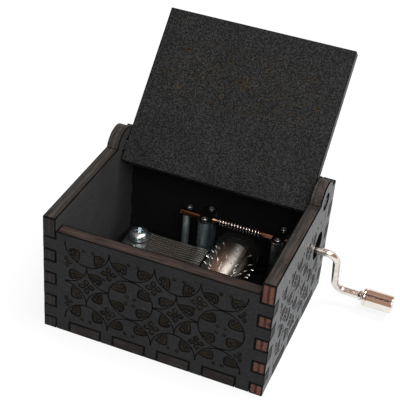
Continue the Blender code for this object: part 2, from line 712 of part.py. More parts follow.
def crank_knob(parent):
    """The turned sleeve that spins on the rod's outer end."""
    tilt = math.radians(ARM_TILT_DEG)
    place = (0, ARM_LEN * math.sin(tilt), -ARM_LEN * math.cos(tilt))
    x0 = KNOB_X
    x1 = KNOB_X + KNOB_LEN
    outer = [(KNOB_BORE_R, x0), (KNOB_R - KNOB_EDGE, x0), (KNOB_R, x0 + KNOB_EDGE),
             (KNOB_R, x0 + KNOB_RIM), (KNOB_WAIST_R, x0 + KNOB_RIM + KNOB_EDGE),
             (KNOB_WAIST_R, x1 - KNOB_RIM - KNOB_EDGE), (KNOB_R, x1 - KNOB_RIM),
             (KNOB_R, x1 - KNOB_EDGE), (KNOB_R - KNOB_EDGE, x1), (KNOB_BORE_R, x1)]
    return put("crank_knob", turned("crank_knob", outer, "X", 32, True), place, NICKEL, 0.2, 1.0, parent)


def pin_mesh():
    """All the pins, each a short bar standing out of the cylinder's wall."""
    bm = bmesh.new()
    for track, shares in enumerate(PIN_TURN_SHARES):
        y = COMB_Y_REAR - (track + 0.5) * TOOTH_PITCH
        for share in shares:
            low = DRUM_R - PIN_ROOT
            high = PIN_TIP_R
            made = bmesh.ops.create_cone(bm, cap_ends=True, segments=6, radius1=PIN_R, radius2=PIN_R,
                                         depth=high - low)
            stand_out = Matrix.Translation((0, 0, (high + low) / 2))
            round_y = Matrix.Rotation(math.pi / 2 - share * 2 * math.pi, 4, "Y")
            bmesh.ops.transform(bm, matrix=Matrix.Translation((0, y, 0)) @ round_y @ stand_out,
                                verts=made["verts"])
    mesh = bpy.data.meshes.new("pins")
    bm.to_mesh(mesh)
    bm.free()
    return mesh


def pin_cylinder(axis):
    """The cylinder: a thin tube that carries the pins."""
    y0 = DRUM_Y0
    y1 = DRUM_Y1
    inner = DRUM_R - DRUM_WALL
    profile = [(inner, y0), (DRUM_R, y0), (DRUM_R, y1), (inner, y1)]
    piece = put("pin_cylinder", turned("pin_cylinder", profile, "Y", 64, True), (0, 0, 0), NICKEL, 0.25, 1.0,
                axis)
    pins = guide("pins", pin_mesh(), (0, 0, 0))
    pins.parent = axis
    combine(piece, pins, "UNION")
    return piece


def wheel_outline():
    """The wheel's toothed outline."""
    root = WHEEL_TIP_R - TOOTH_H
    points = []
    for i in range(WHEEL_TEETH):
        middle = math.pi / 2 + 2 * math.pi * i / WHEEL_TEETH
        for radius, width in ((root, -TOOTH_ROOT_W), (WHEEL_TIP_R, -TOOTH_TIP_W), (WHEEL_TIP_R, TOOTH_TIP_W),
                              (root, TOOTH_ROOT_W)):
            angle = middle + width / 2 / radius
            points.append((radius * math.cos(angle), radius * math.sin(angle)))
    return points


def worm_wheel(axis):
    """The black wheel: teeth under the worm, two ridges and a spigot inside the cylinder."""
    piece = put("worm_wheel", prism("worm_wheel", wheel_outline(), "Y", WHEEL_FACE), (0, WHEEL_Y0, 0),
                BLACK_PLASTIC, 0.25, 0.0, axis)
    y1 = DRUM_Y1 + SEAT_GAP
    spigot = DRUM_R - DRUM_WALL - SEAT_GAP
    y2 = WHEEL_Y0 - GROOVE_W / 2
    profile = [(0, y1 - SPIGOT_L), (spigot, y1 - SPIGOT_L), (spigot, y1), (RIDGE_R, y1),
               (RIDGE_R, y1 + RIDGE_W), (GROOVE_R, y1 + RIDGE_W), (GROOVE_R, y2 - RIDGE_W),
               (RIDGE_R, y2 - RIDGE_W), (RIDGE_R, y2), (GROOVE_R, y2),
               (GROOVE_R, WHEEL_Y1 - WHEEL_FACE / 2), (0, WHEEL_Y1 - WHEEL_FACE / 2)]
    hub = guide("hub", turned("hub", profile, "Y", 64, False), (0, 0, 0))
    hub.parent = axis
    combine(piece, hub, "UNION")
    mesh = cylinder("wheel_bore", ARBOR_BORE_R, y1 - SPIGOT_L - CUT_OVER, WHEEL_Y1 + CUT_OVER, "Y", 24)
    bore = guide("wheel_bore", mesh, (0, 0, 0))
    bore.parent = axis
    combine(piece, bore, "DIFFERENCE")
    return piece


def cylinder_plug(axis):
    """The disc that closes the cylinder's front end."""
    y0 = DRUM_Y0
    outer = DRUM_R - DRUM_WALL - SEAT_GAP
    profile = [(ARBOR_BORE_R, y0), (outer, y0), (outer, y0 + PLUG_T), (ARBOR_BORE_R, y0 + PLUG_T)]
    return put("cylinder_plug", turned("cylinder_plug", profile, "Y", 48, True), (0, 0, 0), BLACK_PLASTIC,
               0.3, 0.0, axis)


def cylinder_arbor(axis):
    """The axle through the cylinder and its wheel, running in the bedplate's lugs."""
    mesh = cylinder("cylinder_arbor", ARBOR_R, LUG_Y0 - ARBOR_END, LUG_Y1 + LUG_T + ARBOR_END, "Y", 24)
    return put("cylinder_arbor", mesh, (0, 0, 0), STEEL, 0.3, 1.0, axis)


def axis_empty(name, place):
    """An empty on a joint's axis."""
    spot = bpy.data.objects.new(name, None)
    bpy.context.scene.collection.objects.link(spot)
    spot.location = place
    return spot


def build():
    """Model every piece in place."""
    for old in list(bpy.data.objects):
        bpy.data.objects.remove(old)
    end_panel("front_panel", False, FRONT_H)
    end_panel("back_panel", True, SIDE_H)
    side_panel("left_panel", False)
    side_panel("right_panel", True)
    base_panel()
    lid()
    bedplate()
    base_screws()
    comb_rest()
    comb()
    comb_screws()
    for side, x in (("left", LEFT_STAND_X), ("right", RIGHT_STAND_X)):
        stand(f"{side}_stand", x)
        keeper(f"{side}_keeper", x)
        keeper_screws(f"{side}_keeper", x)
    end_pin()
    drum_axis = axis_empty("cylinder_axis", (DRUM_X, 0, DRUM_Z))
    pin_cylinder(drum_axis)
    cylinder_plug(drum_axis)
    worm_wheel(drum_axis)
    cylinder_arbor(drum_axis)
    crank_axis = axis_empty("crank_axis", (0, CRANK_Y, CRANK_Z))
    crank_rod(crank_axis)
    worm_wire(crank_axis)
    crank_knob(crank_axis)


build()
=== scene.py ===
"""Looks of the hand-cranked wooden music box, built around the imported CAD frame."""

import math
import random

import bmesh
import bpy
from mathutils import Matrix, Vector
from mathutils.geometry import delaunay_2d_cdt


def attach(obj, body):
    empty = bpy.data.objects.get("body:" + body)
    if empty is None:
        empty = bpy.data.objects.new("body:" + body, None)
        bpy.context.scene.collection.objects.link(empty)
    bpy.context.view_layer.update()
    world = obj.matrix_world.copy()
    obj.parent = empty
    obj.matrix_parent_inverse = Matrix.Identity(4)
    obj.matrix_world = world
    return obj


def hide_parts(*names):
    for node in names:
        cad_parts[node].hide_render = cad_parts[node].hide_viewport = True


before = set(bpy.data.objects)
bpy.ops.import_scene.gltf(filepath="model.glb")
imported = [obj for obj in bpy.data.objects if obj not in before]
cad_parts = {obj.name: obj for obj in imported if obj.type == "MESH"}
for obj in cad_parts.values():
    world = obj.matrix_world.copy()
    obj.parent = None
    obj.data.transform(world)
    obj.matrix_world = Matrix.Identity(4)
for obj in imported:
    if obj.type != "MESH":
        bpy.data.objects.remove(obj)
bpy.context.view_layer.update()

MM = 0.001
TAU = 2 * math.pi
QUARTER = math.pi / 2

# Sizes of the CAD model, in millimetres
BOX_W, BOX_D, SIDE_H, PLY, KERF = 64.0, 52.0, 37.1, 3.7, 0.12
TOP_FINGER_H, FINGER_ROWS = 6.3, 7
FRONT_TABS, SIDE_TABS = 4, 3
FRONT_PITCH, SIDE_PITCH, TAB_SHARE = BOX_W * 0.20422, BOX_D * 0.25135, 0.7269
LID_GAP, LID_SEAT_GAP, LID_FRONT_SHORT, TAIL_GAP = 0.37, 0.15, 0.5, 0.2
PIVOT_HOLE_R, PIVOT_TAB_W, PIVOT_TAB_SHORT, EAR_R = 2.55, 3.1, 0.2, 5.85
LID_OPEN = math.radians(133.4)
HALF_W, HALF_D = BOX_W / 2, BOX_D / 2
PIVOT_Y, PIVOT_Z = HALF_D - 8.8, SIDE_H - PLY / 2
CRANK_Y, CRANK_Z, CRANK_HOLE_R, CRANK_HOLE_Z = 15.0, 20.05, 4.0, 21.6
FRONT_H = SIDE_H - PLY - LID_SEAT_GAP
DRUM_X, DRUM_Z, DRUM_R, DRUM_Y0, DRUM_Y1 = 9.3, 12.0, 6.4, -8.0, 10.0

# Camera, lamps, floor and world, in metres and degrees, the lens in millimetres
CAMERA_TURN, CAMERA_RISE, CAMERA_ROLL, CAMERA_LENS = 19.097, 35.037, 4.860, 97.106
CAMERA_PLACE = (0.07893, -0.22392, 0.20282)
LAMP_TARGET = (0, 0, 0.02)
FLOOR_HALF, FLOOR_Z, FLOOR_GLOW = 3, -0.00005, 0.80
WORLD_LEVEL = 0.55
WHITE = (1.0, 1.0, 1.0)

# What reflections see, by height lowered towards the back: white low at the back, warm brown overhead and
# in front, a dark patch high in front
DARK_PATCH = (0.10, 0.06, 0.05)
OVERHEAD = ((0.0, WHITE), (0.06, WHITE), (0.13, (0.40, 0.23, 0.18)), (0.95, (0.44, 0.27, 0.20)),
            (0.98, DARK_PATCH), (1.0, DARK_PATCH))
OVERHEAD_LEAN, OVERHEAD_SCALE = -0.45, 1 / 1.1


# ---------------------------------------------------------------- node trees

class Nodes:
    """A node tree with short calls for its nodes."""

    def __init__(self, tree):
        self.tree = tree

    def fill(self, made, inputs):
        """Links or sets a node's inputs, given by name or number."""
        for key, value in inputs.items():
            socket = made.inputs[key]
            if isinstance(value, bpy.types.NodeSocket):
                self.tree.links.new(value, socket)
            else:
                socket.default_value = (*value, 1) if socket.type == "RGBA" else value
        return made

    def new(self, kind, inputs):
        return self.fill(self.tree.nodes.new("ShaderNode" + kind), inputs)

    def math(self, operation, *values):
        made = self.tree.nodes.new("ShaderNodeMath")
        made.operation = operation
        return self.fill(made, dict(enumerate(values))).outputs[0]

    def ramp(self, source, stops):
        """Colours, or greys given as one number, along a value."""
        made = self.new("ValToRGB", {"Fac": source})
        points = made.color_ramp.elements
        for i, (where, colour) in enumerate(stops):
            point = points[i] if i < 2 else points.new(where)
            point.position = where
            point.color = (*colour, 1) if isinstance(colour, tuple) else (colour, colour, colour, 1)
        return made.outputs["Color"]

    def mix(self, share, a, b, how="MIX"):
        made = self.tree.nodes.new("ShaderNodeMix")
        made.data_type = "RGBA"
        made.blend_type = how
        return self.fill(made, {0: share, 6: a, 7: b}).outputs[2]

    def shaded(self, share, base, source, stops):
        """The base darkened by a ramp over the source."""
        return self.mix(share, base, self.ramp(source, stops), "MULTIPLY")


class Look(Nodes):
    """A Principled material with short calls for its textures."""

    def __init__(self, name, roughness, metallic, specular):
        self.material = bpy.data.materials.new(name)
        self.material.use_nodes = True
        super().__init__(self.material.node_tree)
        self.shader = self.tree.nodes["Principled BSDF"]
        self.fill(self.shader, {"Roughness": roughness, "Metallic": metallic, "Specular IOR Level": specular})
        self.place = self.new("TexCoord", {}).outputs["Object"]

    def noise(self, scale, detail=3.0, rough=0.5):
        """Noise whose grain is given in cycles per metre, once or per axis."""
        scale = scale if isinstance(scale, tuple) else (scale, scale, scale)
        spread = self.new("Mapping", {"Scale": scale, "Vector": self.place}).outputs["Vector"]
        made = self.new("TexNoise", {"Scale": 1.0, "Detail": detail, "Roughness": rough, "Vector": spread})
        return made.outputs["Fac"]

    def fibres(self, axis, along, across, detail=3.0, rough=0.6):
        """Noise drawn out along one axis."""
        return self.noise(tuple(along if name == axis else across for name in "XYZ"), detail, rough)

    def along(self, axis):
        return self.new("SeparateXYZ", {0: self.place}).outputs[axis]

    def colour(self, source):
        self.fill(self.shader, {"Base Color": source})

    def rough(self, source, low, high):
        made = self.new("MapRange", {"To Min": low, "To Max": high, "Value": source})
        self.fill(self.shader, {"Roughness": made.outputs["Result"]})

    def bump(self, height, distance, strength):
        made = self.new("Bump", {"Distance": distance, "Strength": strength, "Height": height})
        self.fill(self.shader, {"Normal": made.outputs["Normal"]})


def emptied(block):
    """The cleared node tree of a material or world."""
    block.use_nodes = True
    block.node_tree.nodes.clear()
    return Nodes(block.node_tree)


# ---------------------------------------------------------------- camera, light and floor

def placed(name, data):
    """A new object for the data, linked to the scene."""
    made = bpy.data.objects.new(name, data)
    bpy.context.scene.collection.objects.link(made)
    return made


def make_camera():
    """The photograph's viewpoint."""
    turn, rise, roll = (math.radians(angle) for angle in (CAMERA_TURN, CAMERA_RISE, CAMERA_ROLL))
    back = Vector((math.sin(turn) * math.cos(rise), -math.cos(turn) * math.cos(rise), math.sin(rise)))
    right = Vector((0, 0, 1)).cross(back).normalized()
    up = back.cross(right)
    across = math.cos(roll) * right + math.sin(roll) * up
    upward = math.cos(roll) * up - math.sin(roll) * right
    data = bpy.data.cameras.new("camera")
    data.lens = CAMERA_LENS
    data.sensor_width = 36.0
    data.clip_start = 0.01
    data.clip_end = 20.0
    place = Matrix((across, upward, back)).transposed().to_4x4()
    place.translation = Vector(CAMERA_PLACE)
    spot = placed("camera", data)
    spot.matrix_world = place
    bpy.context.scene.camera = spot


def lamp(name, place, size, power, shine):
    """One soft area lamp, seen in reflections where shine says so."""
    data = bpy.data.lights.new(name, "AREA")
    data.shape = "RECTANGLE"
    data.size, data.size_y = size
    data.energy = power
    spot = placed(name, data)
    spot.visible_glossy = shine
    spot.location = place
    spot.rotation_euler = (Vector(LAMP_TARGET) - Vector(place)).to_track_quat("-Z", "Y").to_euler()


def make_world():
    """White to the camera, the toned surroundings in reflections, a plain level on everything else."""
    world = bpy.data.worlds.new("world")
    bpy.context.scene.world = world
    sky = emptied(world)
    path = sky.new("LightPath", {}).outputs
    shine = sky.math("MAXIMUM", path["Is Glossy Ray"], path["Is Transmission Ray"])
    seen = sky.math("MAXIMUM", path["Is Camera Ray"], shine)
    way = sky.new("SeparateXYZ", {0: sky.new("TexCoord", {}).outputs["Generated"]}).outputs
    lean = sky.math("MULTIPLY_ADD", way["Y"], OVERHEAD_LEAN, way["Z"])
    zones = sky.ramp(sky.math("MULTIPLY", lean, OVERHEAD_SCALE), OVERHEAD)
    plain = sky.new("Background", {"Color": WHITE, "Strength": WORLD_LEVEL})
    shown = sky.new("Background", {"Color": sky.mix(path["Is Camera Ray"], zones, WHITE), "Strength": 1.0})
    blend = sky.new("MixShader", {0: seen, 1: plain.outputs[0], 2: shown.outputs[0]})
    sky.new("OutputWorld", {"Surface": blend.outputs[0]})


def make_floor():
    """A pale floor that reads as white and keeps the object's shadow."""
    mesh = bpy.data.meshes.new("floor")
    mesh.from_pydata([(x * FLOOR_HALF, y * FLOOR_HALF, FLOOR_Z) for x, y in ((-1, -1), (1, -1), (1, 1), (-1, 1))],
                     [], [(0, 1, 2, 3)])
    floor = placed("floor", mesh)
    look = bpy.data.materials.new("floor_white")
    tree = emptied(look)
    matt = tree.new("BsdfDiffuse", {"Color": (0.86, 0.86, 0.87)})
    glow = tree.new("Emission", {"Color": WHITE, "Strength": 1.0})
    path = tree.new("LightPath", {}).outputs
    seen = tree.math("MAXIMUM", path["Is Camera Ray"], path["Is Glossy Ray"])
    blend = tree.new("MixShader", {0: tree.math("MULTIPLY", seen, FLOOR_GLOW), 1: matt.outputs[0], 2: glow.outputs[0]})
    tree.new("OutputMaterial", {"Surface": blend.outputs[0]})
    mesh.materials.append(look)


# ---------------------------------------------------------------- materials

def stained_face(name, axis, low, high, specular=0.1, gloss=(0.40, 0.58), speckle=(2600.0, 0.36, 0.66), grain=0.6,
                 relief=0.00005):
    """Dark stained plywood: fine pores and faint grain lines along one axis."""
    look = Look(name, 0.5, 0.0, specular)
    scale, start, end = speckle
    fine = look.noise(scale, 3.0, 0.6)
    lines = look.fibres(axis, 160.0, 2600.0)
    tone = look.shaded(grain, look.ramp(fine, [(start, low), (end, high)]), lines, [(0.36, 0.62), (0.58, 1.0)])
    look.colour(look.shaded(1.0, tone, look.noise(70.0, 3.0, 0.6), [(0.3, 0.86), (0.7, 1.12)]))
    look.rough(fine, *gloss)
    look.bump(look.math("ADD", fine, lines), relief, 0.8)
    return look.material


def ply_edge(name, axis, start, along, layers, patch, dark, amount):
    """A cut edge of plywood: layers across the thickness, burnt patches and end grain."""
    look = Look(name, 0.55, 0.0, 0.12)
    depth = look.math("DIVIDE", look.math("SUBTRACT", look.along(axis), start * MM), PLY * MM)
    wave = look.math("MULTIPLY", look.math("SUBTRACT", look.noise(320.0, 2.0), 0.5), 0.10)
    depth = look.math("ADD", depth, wave)
    count = len(layers)
    stops = []
    for i, colour in enumerate(layers):
        lean = 0.03 if i else 0.0
        stops.append((min(i / count + lean, 0.999), colour))
        if i < count - 1:
            stops.append(((i + 1) / count - 0.03, colour))
    bands = look.ramp(depth, stops)
    fibres = look.fibres(along, 140.0, 2400.0)
    edge = 0.72 - 0.44 * amount
    burnt = look.ramp(look.noise(patch, 3.0, 0.55), [(edge, 0.0), (edge + 0.08, 1.0)])
    look.colour(look.shaded(0.8, look.mix(burnt, bands, dark), fibres, [(0.38, 0.40), (0.62, 1.25)]))
    look.bump(fibres, 0.00005, 0.8)
    return look.material


def burnt_line(name, low, high, rough=0.8, specular=0.06):
    """Laser-burnt wood: brown-black and dull, uneven along its length."""
    look = Look(name, rough, 0.0, specular)
    fine = look.noise(3200.0, 3.0, 0.6)
    wide = look.ramp(look.noise(260.0, 2.0, 0.5), [(0.35, 0.0), (0.65, 1.0)])
    look.colour(look.mix(wide, look.ramp(fine, [(0.3, low), (0.7, high)]), tuple(0.7 * c for c in low)))
    look.bump(fine, 0.00003, 0.6)
    return look.material


def metal(name, colour, roughness, dark=0.75, brushed=None, spot=900.0, bump=0.000006):
    """Metal with faint stains, and brushing along one axis where asked."""
    look = Look(name, roughness, 1.0, 0.5)
    cloud = look.noise(spot, 3.0, 0.6)
    tint = look.ramp(cloud, [(0.35, tuple(dark * c for c in colour)), (0.62, colour)])
    if brushed:
        lines = look.fibres(brushed, 120.0, 9000.0, 2.0, 0.5)
        look.colour(look.shaded(0.35, tint, lines, [(0.3, 0.6), (0.7, 1.0)]))
        look.rough(lines, roughness * 0.75, roughness * 1.3)
        look.bump(lines, bump, 0.8)
    else:
        look.colour(tint)
        look.rough(cloud, roughness * 0.8, roughness * 1.25)
        look.bump(look.noise(4200.0, 2.0), bump, 0.5)
    return look.material


def plastic(name, low, high, roughness):
    """Moulded plastic with a fine uneven gloss."""
    look = Look(name, roughness, 0.0, 0.5)
    fine = look.noise(1800.0, 3.0)
    look.colour(look.ramp(fine, [(0.3, low), (0.7, high)]))
    look.rough(look.noise(600.0, 2.0), roughness * 0.7, roughness * 1.4)
    look.bump(fine, 0.00001, 0.5)
    return look.material


# ---------------------------------------------------------------- mesh helpers

def add_piece(name, mesh, looks, body, nodes, matrix=None):
    """Link a finished mesh, let it ride on a body and stand for CAD nodes."""
    piece = placed(name, mesh)
    if matrix is not None:
        piece.matrix_world = matrix
    for look in looks:
        mesh.materials.append(look)
    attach(piece, body)
    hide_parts(*nodes)


def curve_points(points, steps, closed=False):
    """A smooth curve through the points."""
    last = len(points) - 1
    found = []
    for i in range(last + closed):
        near = range(i - 1, i + 3)
        p = [points[k % (last + 1) if closed else min(max(k, 0), last)] for k in near]
        for s in range(steps):
            t = s / steps
            found.append(tuple(
                0.5 * (2 * b + (c - a) * t + (2 * a - 5 * b + 4 * c - d) * t * t
                       + (3 * b - a - 3 * c + d) * t ** 3) for a, b, c, d in zip(*p)))
    if not closed:
        found.append(tuple(points[-1]))
    return found


def ribbon(path, widths):
    """A stroke's outline round a path, with its widths spread evenly along it."""
    left, right = [], []
    last = len(path) - 1
    for i, (x, y) in enumerate(path):
        ax, ay = path[max(i - 1, 0)]
        bx, by = path[min(i + 1, last)]
        dx, dy = bx - ax, by - ay
        size = math.hypot(dx, dy) or 1.0
        t = i / last * (len(widths) - 1)
        k = min(int(t), len(widths) - 2)
        half = (widths[k] + (widths[k + 1] - widths[k]) * (t - k)) / 2
        left.append((x - dy / size * half, y + dx / size * half))
        right.append((x + dy / size * half, y - dx / size * half))
    return right + left[::-1]


def arc(u, v, radius, start, end, count):
    """Points on an arc, both ends included."""
    return [(u + radius * math.cos(start + (end - start) * i / count),
             v + radius * math.sin(start + (end - start) * i / count)) for i in range(count + 1)]


def inset(loop, amount):
    """A closed loop moved inward, with mitred corners (outward for a clockwise loop)."""
    count = len(loop)
    found = []
    for i, (x, y) in enumerate(loop):
        ax, ay = loop[i - 1]
        bx, by = loop[(i + 1) % count]
        d1 = Vector((x - ax, y - ay)).normalized()
        d2 = Vector((bx - x, by - y)).normalized()
        n1 = Vector((-d1.y, d1.x))
        n2 = Vector((-d2.y, d2.x))
        lean = n1 + n2
        scale = amount / max(lean.dot(n1), 0.3)
        found.append((x + lean.x * scale, y + lean.y * scale))
    return found


def split_ends(loop, border):
    """Adds a point near both ends of every long edge, so that corners can be burnt."""
    found = []
    count = len(loop)
    for i, (x, y) in enumerate(loop):
        bx, by = loop[(i + 1) % count]
        size = math.hypot(bx - x, by - y)
        found.append((x, y))
        if size > 3 * border:
            t = border / size
            found.append((x + (bx - x) * t, y + (by - y) * t))
            found.append((bx - (bx - x) * t, by - (by - y) * t))
    return found


# Material slots of a panel, and in millimetres their engraved depths, the charred rim on a face, its chamfer,
# the height from which an edge counts as a top, and how far an edge is charred from its corners
FACE, CHAR, LINE, FILL, HATCH, EDGE, BACK, TOP = range(8)
DEPTH = {FACE: 0.0, CHAR: 0.0, LINE: 0.16, FILL: 0.07, HATCH: 0.13, BACK: 0.0}
RING, CHAMFER, TOP_FROM, EDGE_BURN = 0.17, 0.07, 30.0, 0.40


def panel_side(loops, art, plain):
    """One face as its points, its triangles with a kind each, and the point of each loop point."""
    points, faces, kinds = [], [], []

    def add(loop, kind):
        order = list(range(len(points), len(points) + len(loop)))
        area = sum(loop[i - 1][0] * loop[i][1] - loop[i][0] * loop[i - 1][1] for i in range(len(loop)))
        faces.append(order if area > 0 else order[::-1])
        points.extend(Vector(p) for p in loop)
        kinds.append(kind)

    for loop in loops:
        add(loop, "outline")
    for loop in loops:
        add(inset(loop, RING), "ring")
    for kind, loop in art:
        add(loop, kind)
    verts, _, tris, orig_verts, _, orig_faces = delaunay_2d_cdt(points, [], faces, 0, 1e-5, True)
    index = {source: k for k, sources in enumerate(orig_verts) for source in sources}
    count = len(loops)
    kept = []
    for tri, sources in zip(tris, orig_faces):
        inside = set(sources)
        if 0 not in inside or any(h in inside for h in range(1, count)):
            continue
        if count not in inside or any(count + h in inside for h in range(1, count)):
            kept.append((tri, CHAR))
            continue
        found = {kinds[s] for s in inside if s >= 2 * count}
        if "line" in found or "petal" in found and "core" not in found:
            kind = LINE
        elif "leaf" in found or "core" in found:
            kind = HATCH if "hatch" in found else FILL
        else:
            kind = plain
        kept.append((tri, kind))
    rims = []
    base = 0
    for loop in loops:
        rims.append([index[base + i] for i in range(len(loop))])
        base += len(loop)
    return verts, kept, rims


def panel_mesh(name, outline, holes, to_space, outer_art, inner_art):
    """A plywood panel: engraved faces, burnt rims and walls of cut plywood."""
    loops = [split_ends(outline, EDGE_BURN)] + [list(reversed(h)) for h in holes]
    verts, faces, kinds = [], [], []
    walls = {}

    def vertex(store, key, u, v, w):
        if key not in store:
            store[key] = len(verts)
            verts.append(to_space(u * MM, v * MM, w * MM))
        return store[key]

    for outer in (True, False):
        points, tris, rims = panel_side(loops, outer_art if outer else inner_art, FACE if outer else BACK)
        rim_points = {k: (number, i) for number, rim in enumerate(rims) for i, k in enumerate(rim)}
        store = {}

        def spot(k, kind):
            u, v = points[k]
            if k in rim_points:
                w = CHAMFER if outer else PLY - CHAMFER
                return vertex(walls, (rim_points[k], outer), u, v, w)
            deep = DEPTH[kind]
            w = deep if outer else PLY - deep
            return vertex(store, (k, deep), u, v, w)

        edges = {}
        for tri, kind in tris:
            corners = [spot(k, kind) for k in tri]
            faces.append(corners if outer else corners[::-1])
            kinds.append(kind)
            for a, b in zip(tri, tri[1:] + tri[:1]):
                edges[(a, b)] = kind
        for (a, b), kind in edges.items():
            other = edges.get((b, a))
            if other is None or DEPTH[other] >= DEPTH[kind]:
                continue
            quad = [spot(b, kind), spot(a, kind), spot(a, other), spot(b, other)]
            quad = [q for i, q in enumerate(quad) if q != quad[i - 1]]
            if len(quad) > 2:
                faces.append(quad if outer else quad[::-1])
                kinds.append(LINE)
    for number, loop in enumerate(loops):
        for i, (u, v) in enumerate(loop):
            j = (i + 1) % len(loop)
            du, dv = loop[j][0] - u, loop[j][1] - v
            rows = [[walls[((number, k), True)], vertex(walls, (number, k, 1), *loop[k], EDGE_BURN),
                     vertex(walls, (number, k, 2), *loop[k], PLY - EDGE_BURN), walls[((number, k), False)]]
                    for k in (i, j)]
            corner = number == 0 and abs(math.hypot(du, dv) - EDGE_BURN) < 0.01
            top = abs(du) > 1e-6 and min(v, loop[j][1]) > TOP_FROM
            level = CHAR if number else TOP if top else EDGE
            for step in range(3):
                faces.append([rows[0][step], rows[0][step + 1], rows[1][step + 1], rows[1][step]])
                kinds.append(CHAR if corner or step != 1 else level)
    mesh = bpy.data.meshes.new(name)
    mesh.from_pydata([tuple(v) for v in verts], [], faces)
    mesh.polygons.foreach_set("material_index", kinds)
    mesh.update()
    if mesh.validate():
        print("mesh repaired:", name)
    return mesh


# ---------------------------------------------------------------- engraving

# Shapes of leaf and petal, and in millimetres the vine's arc and width, a leaf's reach and its hatching
LEAF_BACK = [(-2.1, 0.0), (-2.05, 1.1), (-1.5, 2.1), (-0.5, 2.8), (0.7, 2.95), (1.65, 2.4), (2.1, 1.5), (1.85, 0.75),
             (1.25, 0.6), (1.0, 1.05)]
LEAF_FRONT = [(1.0, 1.05), (1.35, 1.2), (1.3, 1.7), (0.8, 1.85), (0.45, 1.35), (0.7, 0.8), (0.3, 0.35), (-0.35, 0.55),
              (-0.95, 0.15), (-2.1, 0.0)]
LEAF_VEIN = [(-1.6, 0.35), (-0.9, 1.15), (0.0, 1.75), (0.8, 2.15)]
PETAL_RIM = [(0.18, 0.0), (0.55, 0.42), (1.15, 0.66), (1.55, 0.42), (1.9, 0.0), (1.55, -0.42), (1.15, -0.66),
             (0.55, -0.42)]
PETAL_CORE = [(0.45, 0.0), (0.72, 0.25), (1.13, 0.42), (1.42, 0.24), (1.62, 0.0), (1.42, -0.24), (1.13, -0.42),
              (0.72, -0.25)]
VINE_R, VINE_W, VINE_STEPS = 6.35, 0.28, 18
LEAF_REACH, HATCH_PITCH, HATCH_W = VINE_R - 2.1, 0.40, 0.12
LATTICE_PITCH = 12.75


def bent(points, centre, angle, side, size):
    """Points given along and off the vine's arc, laid on it at an angle."""
    return [(centre[0] + (VINE_R - n * size) * math.cos(angle + side * s * size / VINE_R),
             centre[1] + (VINE_R - n * size) * math.sin(angle + side * s * size / VINE_R)) for s, n in points]


def leaf(art, centre, angle, side, size):
    """A curled leaf that grows from the vine on its hollow side."""
    back, front, vein = (bent(curve_points(shape, 3), centre, angle, side, size)
                         for shape in (LEAF_BACK, LEAF_FRONT, LEAF_VEIN))
    body = back + front[1:-1]
    art.append(("leaf", body))
    art.append(("line", ribbon(back, [0.20, 0.36, 0.40, 0.36, 0.30, 0.24])))
    art.append(("line", ribbon(front, [0.20, 0.26, 0.26, 0.26, 0.20])))
    art.append(("line", ribbon(vein, [0.10, 0.16, 0.10])))
    across, upright = zip(*body)
    bottom, top = min(upright), max(upright)
    x = min(across) + HATCH_PITCH * 0.6
    while x < max(across) - 0.1:
        art.append(("hatch", [(x, bottom), (x + HATCH_W, bottom), (x + HATCH_W, top), (x, top)]))
        x += HATCH_PITCH


def vine(art, centre, start, end, keep):
    """One arc of the lattice's vine, left out where keep says no."""
    run = []
    for p in arc(*centre, VINE_R, start, end, VINE_STEPS):
        if keep(p):
            run.append(p)
        else:
            if len(run) > 2:
                art.append(("line", ribbon(run, [VINE_W, VINE_W])))
            run = []
    if len(run) > 2:
        art.append(("line", ribbon(run, [VINE_W * 1.5, VINE_W, VINE_W, VINE_W * 1.5])))


def petal(art, x, y, angle, size):
    """One pointed petal with a brown middle."""
    ca, sa = math.cos(angle), math.sin(angle)
    for kind, shape in (("petal", PETAL_RIM), ("core", PETAL_CORE)):
        art.append((kind, [(x + size * (a * ca - b * sa), y + size * (a * sa + b * ca))
                           for a, b in curve_points(shape, 2, True)]))


def ring(art, x, y, radius=0.52):
    """A small dot with a dark rim and a brown middle."""
    art.append(("petal", arc(x, y, radius, 0.0, TAU * 11 / 12, 11)))
    art.append(("core", arc(x, y, radius - 0.2, 0.0, TAU * 7 / 8, 7)))


def clear_of(hole, margin):
    """A test for points outside a round hole."""
    if hole is None:
        return lambda p: True
    return lambda p: math.hypot(p[0] - hole[0], p[1] - hole[1]) > hole[2] + margin


